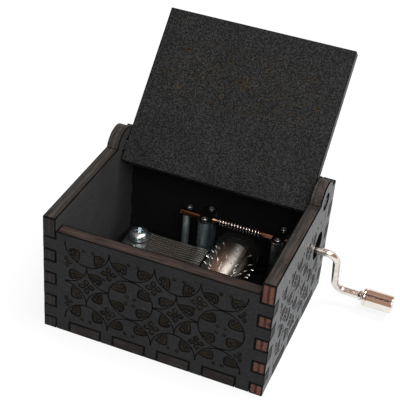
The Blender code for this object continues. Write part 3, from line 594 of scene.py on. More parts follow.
def lattice(columns, left, hole=None, low=5.0, high=31.1):
    """The scroll-and-leaf lattice: scallops, star and circle cells, leaves, flowers and dots."""
    art = []
    keep, near, far = (clear_of(hole, margin) for margin in (0.45, 1.0, 3.0))
    middle = (low + high) / 2
    draw = random.Random(7)
    for column in range(columns):
        c = left + LATTICE_PITCH * (column + 0.5)
        star = column % 2 == 0
        cells = [((c, high), math.pi, 1.5 * math.pi), ((c, high), 1.5 * math.pi, TAU),
                 ((c, low), 0.0, QUARTER), ((c, low), QUARTER, math.pi)]
        if star:
            up, down = high - 6.5, low + 6.6
            cells += [((c - VINE_R, up), -QUARTER, 0.0), ((c + VINE_R, up), math.pi, 1.5 * math.pi),
                      ((c - VINE_R, down), 0.0, QUARTER), ((c + VINE_R, down), QUARTER, math.pi)]
        else:
            cells += [((c, middle), QUARTER * i, QUARTER * (i + 1)) for i in range(4)]
        for number, (centre, start, end) in enumerate(cells):
            vine(art, centre, start, end, keep)
            angle = (start + end) / 2
            side = 1 if (number + column) % 2 else -1
            wobble = draw.uniform(-0.10, 0.10)
            size = draw.uniform(1.10, 1.24)
            if far((centre[0] + LEAF_REACH * math.cos(angle), centre[1] + LEAF_REACH * math.sin(angle))):
                leaf(art, centre, angle + wobble, side, size)
        if star and near((c, middle)):
            for i in range(4):
                petal(art, c, middle, QUARTER * i + 0.08, 1.3)
        if not star:
            for dx, dz in ((-1.1, -1.15), (0.95, -1.3), (-0.95, 1.0), (1.15, 0.85)):
                if near((c + dx, middle + dz)):
                    ring(art, c + dx, middle + dz)
        for dx, z in ((-0.9, high - 1.4), (1.8, high - 1.3), (-1.2, low + 1.2), (1.2, low + 1.1)):
            if near((c + dx, z)):
                ring(art, c + dx, z)
    for node in range(columns + 1):
        x = left + LATTICE_PITCH * node
        for z in (middle + 6.6, middle - 6.9):
            if not far((x, z)):
                continue
            if node == 0:
                turns, x0 = (0, 1, 3), x + 0.6
            elif node == columns:
                turns, x0 = (1, 2, 3), x - 0.6
            else:
                turns, x0 = (0, 1, 2, 3), x
            for i in turns:
                petal(art, x0, z, QUARTER * i + 0.1, 1.25 if len(turns) == 4 else 0.95)
            if 0 < node < columns:
                ring(art, x - 1.3, z - 2.3, 0.42)
    return art


def flourish():
    """A plain symmetrical scroll for the lid's inner face."""
    art = []
    mid = 26.0
    for side in (-1, 1):
        def put(points, widths):
            art.append(("line", ribbon([(side * x, mid + y) for x, y in curve_points(points, 5)], widths)))

        put([(2.2, 0.0), (5.0, 2.6), (8.6, 3.2), (11.6, 1.2), (14.2, -1.6), (17.4, -2.4), (20.0, -0.4),
             (19.6, 2.2), (17.6, 2.9), (16.2, 1.7), (16.7, 0.4)], [0.12, 0.26, 0.20, 0.26, 0.12])
        put([(2.2, 0.0), (4.6, -2.4), (7.8, -3.0), (10.0, -1.4), (9.6, 0.6), (8.0, 1.0), (7.1, 0.0)],
            [0.12, 0.24, 0.22, 0.10])
        put([(11.6, 1.2), (12.6, 3.6), (14.8, 5.0), (17.0, 5.6)], [0.10, 0.22, 0.10])
        put([(13.4, -0.8), (13.0, -3.2), (14.4, -5.2), (17.0, -5.6)], [0.10, 0.22, 0.10])
        for x, y, angle, size in ((5.2, 4.4, 0.9, 1.1), (17.9, 5.7, 0.15, 1.1), (17.9, -5.6, -0.1, 1.1),
                                  (21.2, -1.4, -0.5, 1.0), (4.6, -4.4, -0.9, 1.0)):
            petal(art, side * x, mid + y, angle if side > 0 else math.pi - angle, size)
        for x, y in ((12.0, -1.2), (22.6, 1.4), (11.2, 5.0), (10.9, -5.2)):
            ring(art, side * x, mid + y, 0.42)
    for i in range(4):
        petal(art, 0, mid, QUARTER * i, 1.2)
    for y in (8.2, -8.2):
        wave = [(x * 0.5, mid + y + 0.5 * math.sin(x * math.pi / 50) ** 2) for x in range(-44, 45)]
        art.append(("line", ribbon(wave, [0.08, 0.20, 0.20, 0.08])))
    return art


# ---------------------------------------------------------------- the six panels

def finger_levels():
    top = SIDE_H - TOP_FINGER_H
    return [PLY + (top - PLY) * i / FINGER_ROWS for i in range(FINGER_ROWS + 1)]


def tab_centres(count, pitch):
    return [(i - (count - 1) / 2) * pitch for i in range(count)]


def edge_steps(notched, top):
    """An upright edge as (depth, height), notched on the sides and tabbed on front and back."""
    levels = finger_levels()
    deep = PLY + KERF
    grow = -KERF / 2 if notched else KERF / 2
    outer, inner = (0, deep) if notched else (deep, 0)
    points = [(outer, 0)]
    for row in range(0, FINGER_ROWS, 2):
        low, high = levels[row] + grow, levels[row + 1] - grow
        points += [(outer, low), (inner, low), (inner, high), (outer, high)]
    return points + [(outer, top)]


def slotted_foot(count, pitch):
    half = (pitch * TAB_SHARE + KERF) / 2
    rise = PLY + KERF
    points = []
    for c in tab_centres(count, pitch):
        points += [(c - half, 0), (c - half, rise), (c + half, rise), (c + half, 0)]
    return points


def end_outline(height):
    right = [(HALF_W - depth, z) for depth, z in edge_steps(False, height)]
    return slotted_foot(FRONT_TABS, FRONT_PITCH) + right + [(-x, z) for x, z in reversed(right)]


def side_outline():
    """A side seen from the right, as (y, z)."""
    lean = math.asin((SIDE_H - PIVOT_Z) / EAR_R)
    rear = [(HALF_D - depth, z) for depth, z in edge_steps(True, SIDE_H)]
    ear = arc(PIVOT_Y, PIVOT_Z, EAR_R, lean, math.pi - lean, 40)
    return slotted_foot(SIDE_TABS, SIDE_PITCH) + rear + ear + [(-y, z) for y, z in reversed(rear)]


def base_outline():
    x_in, y_in = HALF_W - PLY - KERF, HALF_D - PLY - KERF
    half = (FRONT_PITCH * TAB_SHARE - KERF) / 2
    front = [(-x_in, -y_in)]
    for c in tab_centres(FRONT_TABS, FRONT_PITCH):
        front += [(c - half, -y_in), (c - half, -HALF_D), (c + half, -HALF_D), (c + half, -y_in)]
    half = (SIDE_PITCH * TAB_SHARE - KERF) / 2
    right = [(x_in, -y_in)]
    for c in tab_centres(SIDE_TABS, SIDE_PITCH):
        right += [(x_in, c - half), (HALF_W, c - half), (HALF_W, c + half), (x_in, c + half)]
    return front + right + [(-x, -y) for x, y in front] + [(-x, -y) for x, y in right]


def lid_outline():
    """The lid as (x, distance towards its front edge from the pivot)."""
    half = HALF_W - PLY - LID_GAP
    tail = math.sqrt((HALF_D - PLY - TAIL_GAP - PIVOT_Y) ** 2 - (PLY / 2) ** 2)
    front = PIVOT_Y + HALF_D - LID_FRONT_SHORT
    reach = HALF_W - PIVOT_TAB_SHORT
    tab = PIVOT_TAB_W / 2
    right = [(half, -tail), (half, -tab), (reach, -tab), (reach, tab), (half, tab), (half, front)]
    return right + [(-x, y) for x, y in reversed(right)]


def mirrored(loop):
    """The same loop seen from the other side, kept anticlockwise."""
    return [(-u, v) for u, v in reversed(loop)]


def circle(u, v, radius, count):
    return arc(u, v, radius, 0, TAU * (count - 1) / count, count - 1)


def make_panels():
    """The six panels with their engraving."""
    # The Y looks of the side panels are lighter, cooler copies of the X looks: their sheen comes from the shader,
    # their lighter, cooler base colours are painted light.
    line = {"X": burnt_line("burnt_line_long", (0.002, 0.002, 0.002), (0.006, 0.005, 0.0045)),
            "Y": burnt_line("burnt_line_side", (0.006, 0.006, 0.006), (0.014, 0.013, 0.012), 0.5, 0.1)}
    char = burnt_line("charred_rim", (0.003, 0.003, 0.003), (0.009, 0.008, 0.0075))
    fill = {"X": burnt_line("engraved_brown_long", (0.014, 0.0110, 0.0076), (0.027, 0.0212, 0.0148), 0.75),
            "Y": burnt_line("engraved_brown_side", (0.014, 0.013, 0.011), (0.028, 0.025, 0.022), 0.42, 0.14)}
    hatch = {"X": burnt_line("engraved_hatch_long", (0.004, 0.0035, 0.003), (0.010, 0.0080, 0.006), 0.8),
             "Y": burnt_line("engraved_hatch_side", (0.007, 0.007, 0.006), (0.016, 0.015, 0.014), 0.5, 0.1)}
    # Copies of the stain for inner faces: the X one darker, painted shade inside the box on the back panel; the Y one
    # lighter, painted light on the left panel's inner face.
    inside = {"X": stained_face("stained_inside_painted_shade", "X", 0.0045, 0.0110, 0.06),
              "Y": stained_face("stained_inside_painted_light", "Y", 0.030, 0.062, 0.12)}
    face = {"X": stained_face("stained_face_long", "X", (0.0072, 0.0075, 0.0080), (0.0168, 0.0174, 0.0188)),
            "Y": stained_face("stained_face_side", "Y", (0.0130, 0.0155, 0.0185), (0.0310, 0.0365, 0.0440), 0.42,
                              (0.33, 0.48), (1700.0, 0.38, 0.62), 0.4, 0.00014)}
    lid_face = stained_face("stained_lid", "Y", 0.0058, 0.034, 0.08, (0.5, 0.7), (2300.0, 0.42, 0.66), 0.6)
    lid_line = burnt_line("lid_engraving", (0.050, 0.038, 0.022), (0.085, 0.065, 0.040), 0.7)
    brown, clay, red = (0.035, 0.024, 0.020), (0.052, 0.034, 0.030), (0.120, 0.040, 0.027)
    grey, pale = (0.026, 0.023, 0.021), (0.047, 0.042, 0.038)
    dark, shade = (0.012, 0.010, 0.009), (0.020, 0.0180, 0.0165)

    def build(side, outline, holes, to_space, outer, inner, ply, edge, top=None, faces=None, lines=None, matrix=None):
        """One panel: ply gives its thickness axis, where that starts and its grain, edge and top their looks."""
        grain, lid, name = ply[2], side == "lid", "wood_" + side
        rim = ply_edge("edge_" + side, *ply, *edge)
        looks = [faces or face[grain], char, lines or line[grain], fill[grain], hatch[grain], rim, inside[grain],
                 ply_edge("top_" + side, *ply, *top) if top else rim]
        add_piece(name, panel_mesh(name, outline, holes, to_space, outer, inner), looks, "lid" if lid else "box",
                  ["lid" if lid else side + "_panel"], matrix)

    long_art = lattice(4, -25.6)
    build("front", end_outline(FRONT_H), [], lambda u, v, w: (u, w - HALF_D * MM, v), long_art, [],
          ("Y", -HALF_D, "X"), ([grey, dark, grey], 120.0, dark, 0.4),
          ([brown, (0.042, 0.029, 0.025), brown], (90.0, 300.0, 300.0), grey, 0.4))
    build("back", end_outline(SIDE_H), [], lambda u, v, w: (-u, HALF_D * MM - w, v), long_art, [],
          ("Y", HALF_D - PLY, "X"), ([grey, dark, grey, dark, grey], 120.0, dark, 0.4))
    pivot = circle(PIVOT_Y, PIVOT_Z, PIVOT_HOLE_R, 40)
    crank_hole = (CRANK_Y, CRANK_HOLE_Z, CRANK_HOLE_R)
    build("right", side_outline(), [pivot, circle(*crank_hole, 48)], lambda u, v, w: (HALF_W * MM - w, u, v),
          lattice(3, -19.1, crank_hole), [], ("X", HALF_W - PLY, "Y"),
          ([(0.070, 0.030, 0.023), (0.105, 0.037, 0.026), (0.030, 0.013, 0.011), red, (0.060, 0.038, 0.033)],
           110.0, dark, 0.1), ([pale, grey, pale, clay, pale], 110.0, grey, 0.3))
    build("left", mirrored(side_outline()), [mirrored(pivot)], lambda u, v, w: (w - HALF_W * MM, -u, v),
          lattice(3, -19.1), [], ("X", -HALF_W, "Y"), ([shade, dark, shade, dark, shade], 110.0, dark, 0.3),
          ([pale, grey, pale, grey, brown], 110.0, grey, 0.3))
    build("base", [(x, -y) for x, y in reversed(base_outline())], [circle(x, -y, 1.3, 24) for x, y in BASE_SCREWS],
          lambda u, v, w: (u, -v, w), [], [], ("Z", 0.0, "X"),
          ([dark, shade, dark, shade, dark], 140.0, (0.012, 0.0080, 0.0075), 0.62))
    opened = Matrix.Translation((0, PIVOT_Y * MM, PIVOT_Z * MM)) @ Matrix.Rotation(-LID_OPEN, 4, "X")
    build("lid", lid_outline(), [], lambda u, v, w: (u, -v, w - PLY / 2 * MM), flourish(),
          lattice(4, -25.5, None, 12.0, 38.1), ("Z", -PLY / 2, "X"),
          ([grey, dark, (0.12, 0.12, 0.12), dark, grey], 140.0, dark, 0.3), None, lid_face, lid_line, opened)


# ---------------------------------------------------------------- the movement

# Sizes of the movement, in millimetres
BASE_SCREWS = ((-20.5, 14.5), (-20.5, -9.8), (22.0, -6.0))
COMB_X0, COMB_Y0, COMB_Y1, COMB_TOP, COMB_T, COMB_CORNER = -21.8, -7.15, 9.77, 13.2, 0.9, 0.5
COMB_ROOT_REAR, COMB_ROOT_FRONT, COMB_TIP = -16.0, -10.8, 1.956
TEETH, TOOTH_PITCH, TOOTH_SLOT = 18, 0.94, 0.33
COMB_SCREWS = (("comb_screw_rear", -18.3, 6.0), ("comb_screw_front", -18.3, -2.6))
SCREW_HEAD_R, SCREW_HEAD_H, SCREW_R, SCREW_RIM = 3.0, 2.4, 1.25, 0.75
CROSS_REACH, CROSS_W, CROSS_DEEP, CROSS_TURN = 1.55, 0.95, 1.25, 0.35
STANDS = (("left", -0.95), ("right", 21.1))
POST_SPREAD, KEEPER_Z, KEEPER_T = 2.85, 21.17, 0.45
ROD_X0, ROD_R, ROD_BEND_X, ROD_BEND_R, BEND_STEPS = -9.3, 1.12, 38.0, 3.0, 16
ARM_LEN, ARM_TILT = 15.5, math.radians(17.2)
KNOB_X, KNOB_LEN, KNOB_R, KNOB_GROOVE = 46.6, 8.75, 2.68, 2.45
WORM_FIRST, WORM_LAST, WORM_TURNS, WORM_R, WIRE_R, COIL_STEPS = 2.775, 15.375, 14, 1.25, 0.2, 32
PIN_R, PIN_H = 0.16, 0.60

# Edges sharper than these, in degrees, stay sharp in shading or are bevelled
SMOOTH, BEVEL_FROM = 32.0, 40.0

# Profiles in millimetres, as (radius, place along the axis) unless said otherwise; the dome is in shares
SCREW_SHANK = ((0, -5.2), (0.9, -5.2), (SCREW_R, -4.8), (SCREW_R, 0.0), (SCREW_HEAD_R - 0.15, 0.0),
               (SCREW_HEAD_R, 0.15))
SCREW_DOME = ((1.0, 0.0), (0.985, 0.2), (0.94, 0.42), (0.86, 0.62), (0.74, 0.79), (0.58, 0.91), (0.38, 0.98),
              (0.18, 1.0))
SMALL_SCREW = ((0, -3.0), (0.55, -3.0), (0.55, 0.0), (0.9, 0.0), (0.95, 0.06), (0.93, 0.16), (0.84, 0.25),
               (0.66, 0.30), (0.48, 0.30), (0.42, 0.27), (0.38, 0.08), (0, 0.05))
END_POST = ((0, 5.2), (1.05, 5.2), (1.05, 18.55), (0.93, 18.75), (0, 18.8))
END_PIN = ((0, 18.0), (0.68, 18.0), (0.72, 20.85), (0.6, 21.0), (0.2, 21.05), (0, 21.05))
KNOB_NEAR = ((1.15, 0.1), (1.3, 0.0), (KNOB_R - 0.30, 0.0), (KNOB_R - 0.12, 0.06), (KNOB_R - 0.03, 0.16),
             (KNOB_R, 0.3), (KNOB_R, 0.62), (KNOB_R - 0.05, 0.74), (KNOB_GROOVE, 0.84), (KNOB_GROOVE, 1.0),
             (KNOB_R - 0.05, 1.1), (KNOB_R, 1.2), (KNOB_R, 1.28))
KNOB_FAR = ((KNOB_R, 0.28), (KNOB_R, 0.2), (KNOB_R - 0.05, 0.08), (KNOB_R - 0.2, 0.0), (1.3, 0.0), (1.15, 0.1))
DRUM_INNER = DRUM_R - 0.9
DRUM_END = ((DRUM_INNER, 0.1), (DRUM_INNER + 0.1, 0.0), (DRUM_R - 0.22, 0.0), (DRUM_R - 0.06, 0.07), (DRUM_R, 0.2),
            (DRUM_R, 0.3))

# A pin as (reach past the cylinder, radius), and a tooth as (share of its length, change of top, of underside)
PIN_PROFILE = ((-0.3, PIN_R * 1.1), (0.02, PIN_R * 1.1), (0.10, PIN_R), (PIN_H - 0.12, PIN_R * 0.92),
               (PIN_H - 0.03, PIN_R * 0.70), (PIN_H, PIN_R * 0.3))
TOOTH_PROFILE = ((0.0, 0.0, 0.0), (0.07, -0.16, 0.05), (0.12, -0.20, 0.22), (0.72, -0.24, 0.30), (0.80, -0.10, 0.18),
                 (0.97, -0.10, 0.18), (1.0, -0.18, 0.24))

# Where each tooth's pins stand on the cylinder, in shares of a turn
PIN_TURN_SHARES = (
    (0.10, 0.52, 0.78, 0.91), (0.315, 0.60, 0.84, 0.992), (0.053, 0.367, 0.47, 0.71), (0.20, 0.333, 0.56, 0.88),
    (0.0, 0.38, 0.64, 0.79), (0.339, 0.43, 0.69, 0.95), (0.011, 0.064, 0.50, 0.75), (0.24, 0.386, 0.59, 0.86),
    (0.15, 0.347, 0.66, 0.92), (0.089, 0.189, 0.289, 0.54, 0.81), (0.144, 0.383, 0.61, 0.89),
    (0.133, 0.247, 0.45, 0.73), (0.03, 0.32, 0.57, 0.83), (0.142, 0.242, 0.49, 0.77), (0.31, 0.42, 0.68, 0.94),
    (0.07, 0.20, 0.53, 0.80), (0.12, 0.36, 0.63, 0.90), (0.27, 0.46, 0.72, 0.97))


def on_axis(axis, radial, across, along):
    """A point from its radial pair and its place along an axis."""
    return {"X": (along, radial, across), "Y": (radial, along, across), "Z": (radial, across, along)}[axis]


def finish_mesh(name, bm, degrees=SMOOTH):
    """Turns a bmesh in millimetres into a smooth-shaded mesh in metres."""
    bmesh.ops.recalc_face_normals(bm, faces=bm.faces)
    mesh = bpy.data.meshes.new(name)
    bm.to_mesh(mesh)
    bm.free()
    mesh.transform(Matrix.Diagonal((MM, MM, MM, 1)))
    mesh.shade_smooth()
    mesh.set_sharp_from_angle(angle=math.radians(degrees))
    return mesh


def add_finished(node, bm, looks, body, degrees=SMOOTH):
    """The piece made from a bmesh that stands for one CAD node."""
    add_piece(node + "_finished", finish_mesh(node + "_finished", bm, degrees), looks, body, [node])


def spun(bm, profile, axis, steps, centre, closed=False):
    """Adds a profile of (radius, place along the axis) turned about an axis, in millimetres."""
    rings = []
    for r, w in profile:
        turns = [TAU * i / steps for i in range(steps if r > 0 else 1)]
        rings.append([bm.verts.new(Vector(on_axis(axis, r * math.cos(t), r * math.sin(t), w)) + Vector(centre))
                      for t in turns])
    pairs = list(zip(rings, rings[1:]))
    if closed:
        pairs.append((rings[-1], rings[0]))
    for a, b in pairs:
        for i in range(steps):
            j = (i + 1) % steps
            corners = [a[i % len(a)], a[j % len(a)], b[j % len(b)], b[i % len(b)]]
            unique = [c for k, c in enumerate(corners) if c is not corners[k - 1]]
            if len(unique) > 2:
                bm.faces.new(unique)


def hoop(bm, centre, r, across, side, count):
    """A ring of points round a centre."""
    return [bm.verts.new(centre + r * (math.cos(TAU * k / count) * across + math.sin(TAU * k / count) * side))
            for k in range(count)]


def bridge(bm, rings):
    """Faces between each ring of points and the next."""
    for a, b in zip(rings, rings[1:]):
        for k in range(len(a)):
            j = (k + 1) % len(a)
            bm.faces.new((a[k], a[j], b[j], b[k]))


def swept(bm, points, radii, sides):
    """Adds a round bar along points in millimetres, with domed ends."""
    points = [Vector(p) for p in points]
    tangents = [(points[min(i + 1, len(points) - 1)] - points[max(i - 1, 0)]).normalized()
                for i in range(len(points))]
    across = tangents[0].orthogonal().normalized()
    rings = []
    for i, (p, t) in enumerate(zip(points, tangents)):
        if i:
            across = tangents[i - 1].rotation_difference(t) @ across
        across = (across - t * across.dot(t)).normalized()
        rings.append(hoop(bm, p, radii[i], across, t.cross(across), sides))
    bridge(bm, rings)
    for ring, tip in ((rings[0], points[0] - tangents[0] * radii[0] * 0.12),
                      (rings[-1], points[-1] + tangents[-1] * radii[-1] * 0.12)):
        top = bm.verts.new(tip)
        for k in range(sides):
            bm.faces.new((ring[k], ring[(k + 1) % sides], top))


def dress(node, look, body, bevel, worn=None):
    """A copy of a CAD node with its edges rounded, and worn bright where asked, standing for that node."""
    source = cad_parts[node]
    bm = bmesh.new()
    bm.from_mesh(source.data)
    bm.transform(source.matrix_world)
    bm.transform(Matrix.Diagonal((1 / MM, 1 / MM, 1 / MM, 1)))
    bmesh.ops.remove_doubles(bm, verts=bm.verts, dist=0.002)
    bmesh.ops.dissolve_limit(bm, angle_limit=math.radians(1.0), verts=bm.verts, edges=bm.edges)
    sharp = [e for e in bm.edges if len(e.link_faces) == 2 and e.calc_face_angle(0.0) > math.radians(BEVEL_FROM)]
    bmesh.ops.bevel(bm, geom=sharp, offset=bevel, segments=2, profile=0.6, affect="EDGES", clamp_overlap=True,
                    material=1 if worn else -1)
    add_finished(node, bm, [look, worn] if worn else [look], body)


def carve(mesh, cutters, name):
    """The mesh less the cutters, by an exact Boolean that is then applied."""
    piece = placed(name, mesh)
    tools = []
    for i, cutter in enumerate(cutters):
        tool = placed(f"{name}_tool_{i}", cutter)
        step = piece.modifiers.new(f"cut_{i}", "BOOLEAN")
        step.operation = "DIFFERENCE"
        step.solver = "EXACT"
        step.object = tool
        tools.append(tool)
    made = bpy.data.meshes.new_from_object(piece.evaluated_get(bpy.context.evaluated_depsgraph_get()))
    for old in [piece] + tools:
        bpy.data.objects.remove(old)
    made.shade_smooth()
    made.set_sharp_from_angle(angle=math.radians(SMOOTH))
    return made


def cross_tool(name, x, y, top):
    """Two tapered bars that cut a cross recess."""
    found = []
    for i in range(2):
        bm = bmesh.new()
        angle = CROSS_TURN + i * QUARTER
        rows = [[bm.verts.new((x + u * math.cos(angle) - v * math.sin(angle),
                               y + u * math.sin(angle) + v * math.cos(angle), z))
                 for u, v in ((-a, -b), (a, -b), (a, b), (-a, b))]
                for z, a, b in ((top - CROSS_DEEP, CROSS_REACH * 0.34, CROSS_W * 0.30),
                                (top + 1.0, CROSS_REACH * 1.18, CROSS_W * 0.62))]
        for row in rows:
            bm.faces.new(row)
        bridge(bm, rows)
        found.append(finish_mesh(f"{name}_{i}", bm))
    return found


def make_comb(steel):
    """The comb: a ground plate and teeth that thin out behind their tips."""
    bm = bmesh.new()
    low_z, top_z = COMB_TOP - COMB_T, COMB_TOP

    def root(y):
        return COMB_ROOT_REAR + (COMB_ROOT_FRONT - COMB_ROOT_REAR) * (COMB_Y1 - y) / (COMB_Y1 - COMB_Y0)

    def pair(x, y, top, low):
        return bm.verts.new((x, y, top)), bm.verts.new((x, y, low))

    rim = [pair(COMB_X0 + COMB_CORNER, COMB_Y0, top_z, low_z)]
    faces = []
    for i in range(TEETH):
        y0 = COMB_Y0 + i * TOOTH_PITCH + (TOOTH_SLOT / 2 if i else 0.0)
        y1 = COMB_Y0 + (i + 1) * TOOTH_PITCH - (TOOTH_SLOT / 2 if i < TEETH - 1 else 0.0)
        start = root((y0 + y1) / 2)
        span = COMB_TIP - start
        last = None
        for share, top, low in TOOTH_PROFILE:
            x = start + span * share
            here = tuple(pair(x + (root(y) - start if share == 0.0 else 0.0), y, top_z + top, low_z + low)
                         for y in (y0, y1))
            if last is None:
                rim += [here[0], here[1]]
            else:
                (a, b), (c, d) = last, here
                faces += [(a[0], c[0], d[0], b[0]), (a[1], b[1], d[1], c[1]), (a[0], a[1], c[1], c[0]),
                          (b[0], d[0], d[1], b[1])]
            last = here
        faces.append((last[0][0], last[0][1], last[1][1], last[1][0]))
    rim += [pair(COMB_X0 + COMB_CORNER, COMB_Y1, top_z, low_z), pair(COMB_X0, COMB_Y1 - COMB_CORNER, top_z, low_z),
            pair(COMB_X0, COMB_Y0 + COMB_CORNER, top_z, low_z)]
    for corners in faces:
        bm.faces.new(corners)
    bm.faces.new([p[0] for p in rim])
    bm.faces.new([p[1] for p in rim])
    joined = {2 * i + 1 for i in range(TEETH)}
    for i, (a, b) in enumerate(zip(rim, rim[1:] + rim[:1])):
        if i not in joined:
            bm.faces.new((a[0], b[0], b[1], a[1]))
    bmesh.ops.recalc_face_normals(bm, faces=bm.faces)
    sharp = [e for e in bm.edges if len(e.link_faces) == 2 and e.calc_face_angle(0.0) > math.radians(50)
             and max(v.co.z for v in e.verts) > top_z - 0.3 and abs(e.verts[0].co.z - e.verts[1].co.z) < 0.3]
    bmesh.ops.bevel(bm, geom=sharp, offset=0.05, segments=1, profile=0.5, affect="EDGES", clamp_overlap=True)
    add_finished("comb", bm, [steel], "box", 20.0)


def make_screws(zinc, steel):
    """Pan-head screws with cross recesses on the comb, and small ones on the keepers."""
    for name, x, y in COMB_SCREWS:
        bm = bmesh.new()
        base = COMB_TOP + 0.2
        rim = base + SCREW_RIM
        spun(bm, [(r, base + z) for r, z in SCREW_SHANK]
             + [(SCREW_HEAD_R * r, rim + (SCREW_HEAD_H - SCREW_RIM) * z) for r, z in SCREW_DOME]
             + [(0, base + SCREW_HEAD_H)], "Z", 48, (x, y, 0))
        mesh = carve(finish_mesh(name, bm), cross_tool(name, x, y, base + SCREW_HEAD_H), name)
        add_piece(name + "_finished", mesh, [zinc], "box", [name])
    for side, x in STANDS:
        for where, sign in (("front", -1), ("rear", 1)):
            bm = bmesh.new()
            base = KEEPER_Z + KEEPER_T + 0.1
            spun(bm, [(r, base + z) for r, z in SMALL_SCREW], "Z", 28, (x, CRANK_Y + sign * POST_SPREAD, 0))
            add_finished(f"{side}_keeper_screw_{where}", bm, [steel], "box")


def make_end_pin(steel):
    """The post by the rod's free end: a stout body with a thinner pin on its rear half."""
    bm = bmesh.new()
    spun(bm, END_POST, "Z", 32, (-7.7, 15.7, 0))
    spun(bm, END_PIN, "Z", 24, (-7.35, 17.0, 0))
    add_finished("end_pin", bm, [steel], "box")


def make_crank(rod, wire, knob):
    """The bent rod, the wire wound on it and the turned knob."""
    down = Vector((0, math.sin(ARM_TILT), -math.cos(ARM_TILT)))
    along = Vector((1, 0, 0))
    axis = Vector((0, CRANK_Y, CRANK_Z))
    grip = down * ARM_LEN
    points, radii = [], []

    def put(x, r, offset=Vector()):
        points.append(axis + (offset + along * x))
        radii.append(r)

    for x, r in ((ROD_X0, 0.86), (ROD_X0 + 0.06, 0.95), (ROD_X0 + 0.15, 1.0), (WORM_FIRST - 0.75, 1.0),
                 (WORM_FIRST - 0.6, 0.9), (WORM_LAST + 0.6, 0.9), (WORM_LAST + 0.75, 1.0), (24.0, 1.0),
                 (26.0, ROD_R)):
        put(x, r)
    for first in (True, False):
        for i in range(BEND_STEPS + 1):
            turn = QUARTER * i / BEND_STEPS
            run, rise = ROD_BEND_R * math.sin(turn), ROD_BEND_R * (1 - math.cos(turn))
            x = ROD_BEND_X - ROD_BEND_R + run if first else ROD_BEND_X + rise
            fall = rise if first else ARM_LEN - ROD_BEND_R + run
            put(x, ROD_R - 0.04 * math.sin(2 * turn), down * fall)
    near, far = KNOB_X - 0.3, KNOB_X + KNOB_LEN - 0.3
    for x, r in ((near - 1.1, ROD_R), (near - 0.92, 1.42), (near - 0.82, 1.5), (near - 0.28, 1.5),
                 (near - 0.2, 1.42), (near, 1.0), (far, 1.0), (far + 0.14, 0.94), (far + 0.2, 0.8)):
        put(x, r, grip)
    bm = bmesh.new()
    swept(bm, points, radii, 32)
    add_finished("crank_rod", bm, [rod], "crank", 40.0)
    bm = bmesh.new()
    steps = WORM_TURNS * COIL_STEPS
    coil = [axis + Vector((WORM_FIRST + (WORM_LAST - WORM_FIRST) * i / steps,
                           WORM_R * math.cos(TAU * i / COIL_STEPS), WORM_R * math.sin(TAU * i / COIL_STEPS)))
            for i in range(steps + 1)]
    head = coil[0] + (coil[0] - coil[1]).normalized() * 2 * WIRE_R
    tail = coil[-1] + (coil[-1] - coil[-2]).normalized() * 2 * WIRE_R
    coil = [head] + coil + [tail]
    swept(bm, coil, [WIRE_R] * len(coil), 8)
    add_finished("worm_wire", bm, [wire], "crank", 60.0)
    bm = bmesh.new()
    spun(bm, [(r, KNOB_X + x) for r, x in KNOB_NEAR] + [(r, KNOB_X + KNOB_LEN - x) for r, x in KNOB_FAR], "X", 64,
         tuple(axis + grip), True)
    add_finished("crank_knob", bm, [knob], "knob")


def make_cylinder(nickel, pin_steel):
    """The pinned cylinder with rounded ends and tapered pins."""
    bm = bmesh.new()
    spun(bm, [(r, DRUM_Y0 + y) for r, y in DRUM_END] + [(r, DRUM_Y1 - y) for r, y in reversed(DRUM_END)], "Y", 96,
         (DRUM_X, 0, DRUM_Z), True)
    shell = len(bm.faces)
    for track, shares in enumerate(PIN_TURN_SHARES):
        foot = Vector((DRUM_X, COMB_Y1 - (track + 0.5) * TOOTH_PITCH, DRUM_Z))
        for share in shares:
            turn = share * TAU
            out = Vector((math.cos(turn), 0, math.sin(turn)))
            side = Vector((-out.z, 0, out.x))
            rings = [hoop(bm, foot + out * (DRUM_R + reach), r, side, Vector((0, 1, 0)), 8)
                     for reach, r in PIN_PROFILE]
            bridge(bm, rings)
            bm.faces.new(rings[0])
            bm.faces.new(rings[-1])
    for i, face in enumerate(bm.faces):
        face.material_index = 0 if i < shell else 1
    add_finished("pin_cylinder", bm, [nickel, pin_steel], "cylinder", 40.0)


def rod_look():
    """Nickel, with painted reflection of brown wood and painted shade on the run inside the box, darkest under the
    wire coil.
    """
    look = Look("rod_nickel", 0.16, 1.0, 0.5)
    where = look.math("MULTIPLY", look.math("ADD", look.along("X"), 0.012), 20.0)
    cloud = look.math("MULTIPLY", look.math("SUBTRACT", look.noise(300.0, 3.0), 0.5), 0.10)
    where = look.math("ADD", where, cloud)
    # Painted reflection and shade inside the box: copper-brown, near black under the wire coil, brown again up to the
    # hole, pale nickel outside.
    tone = look.ramp(where, [(0.0, (0.26, 0.15, 0.095)), (0.27, (0.15, 0.088, 0.056)), (0.30, (0.04, 0.032, 0.028)),
                             (0.52, (0.04, 0.032, 0.028)), (0.56, (0.44, 0.27, 0.18)), (0.74, (0.50, 0.36, 0.27)),
                             (0.84, (0.80, 0.76, 0.71))])
    look.colour(look.shaded(0.8, tone, look.noise(800.0, 3.0, 0.6), [(0.34, 0.72), (0.60, 1.0)]))
    look.rough(look.noise(700.0, 3.0), 0.14, 0.26)
    return look.material


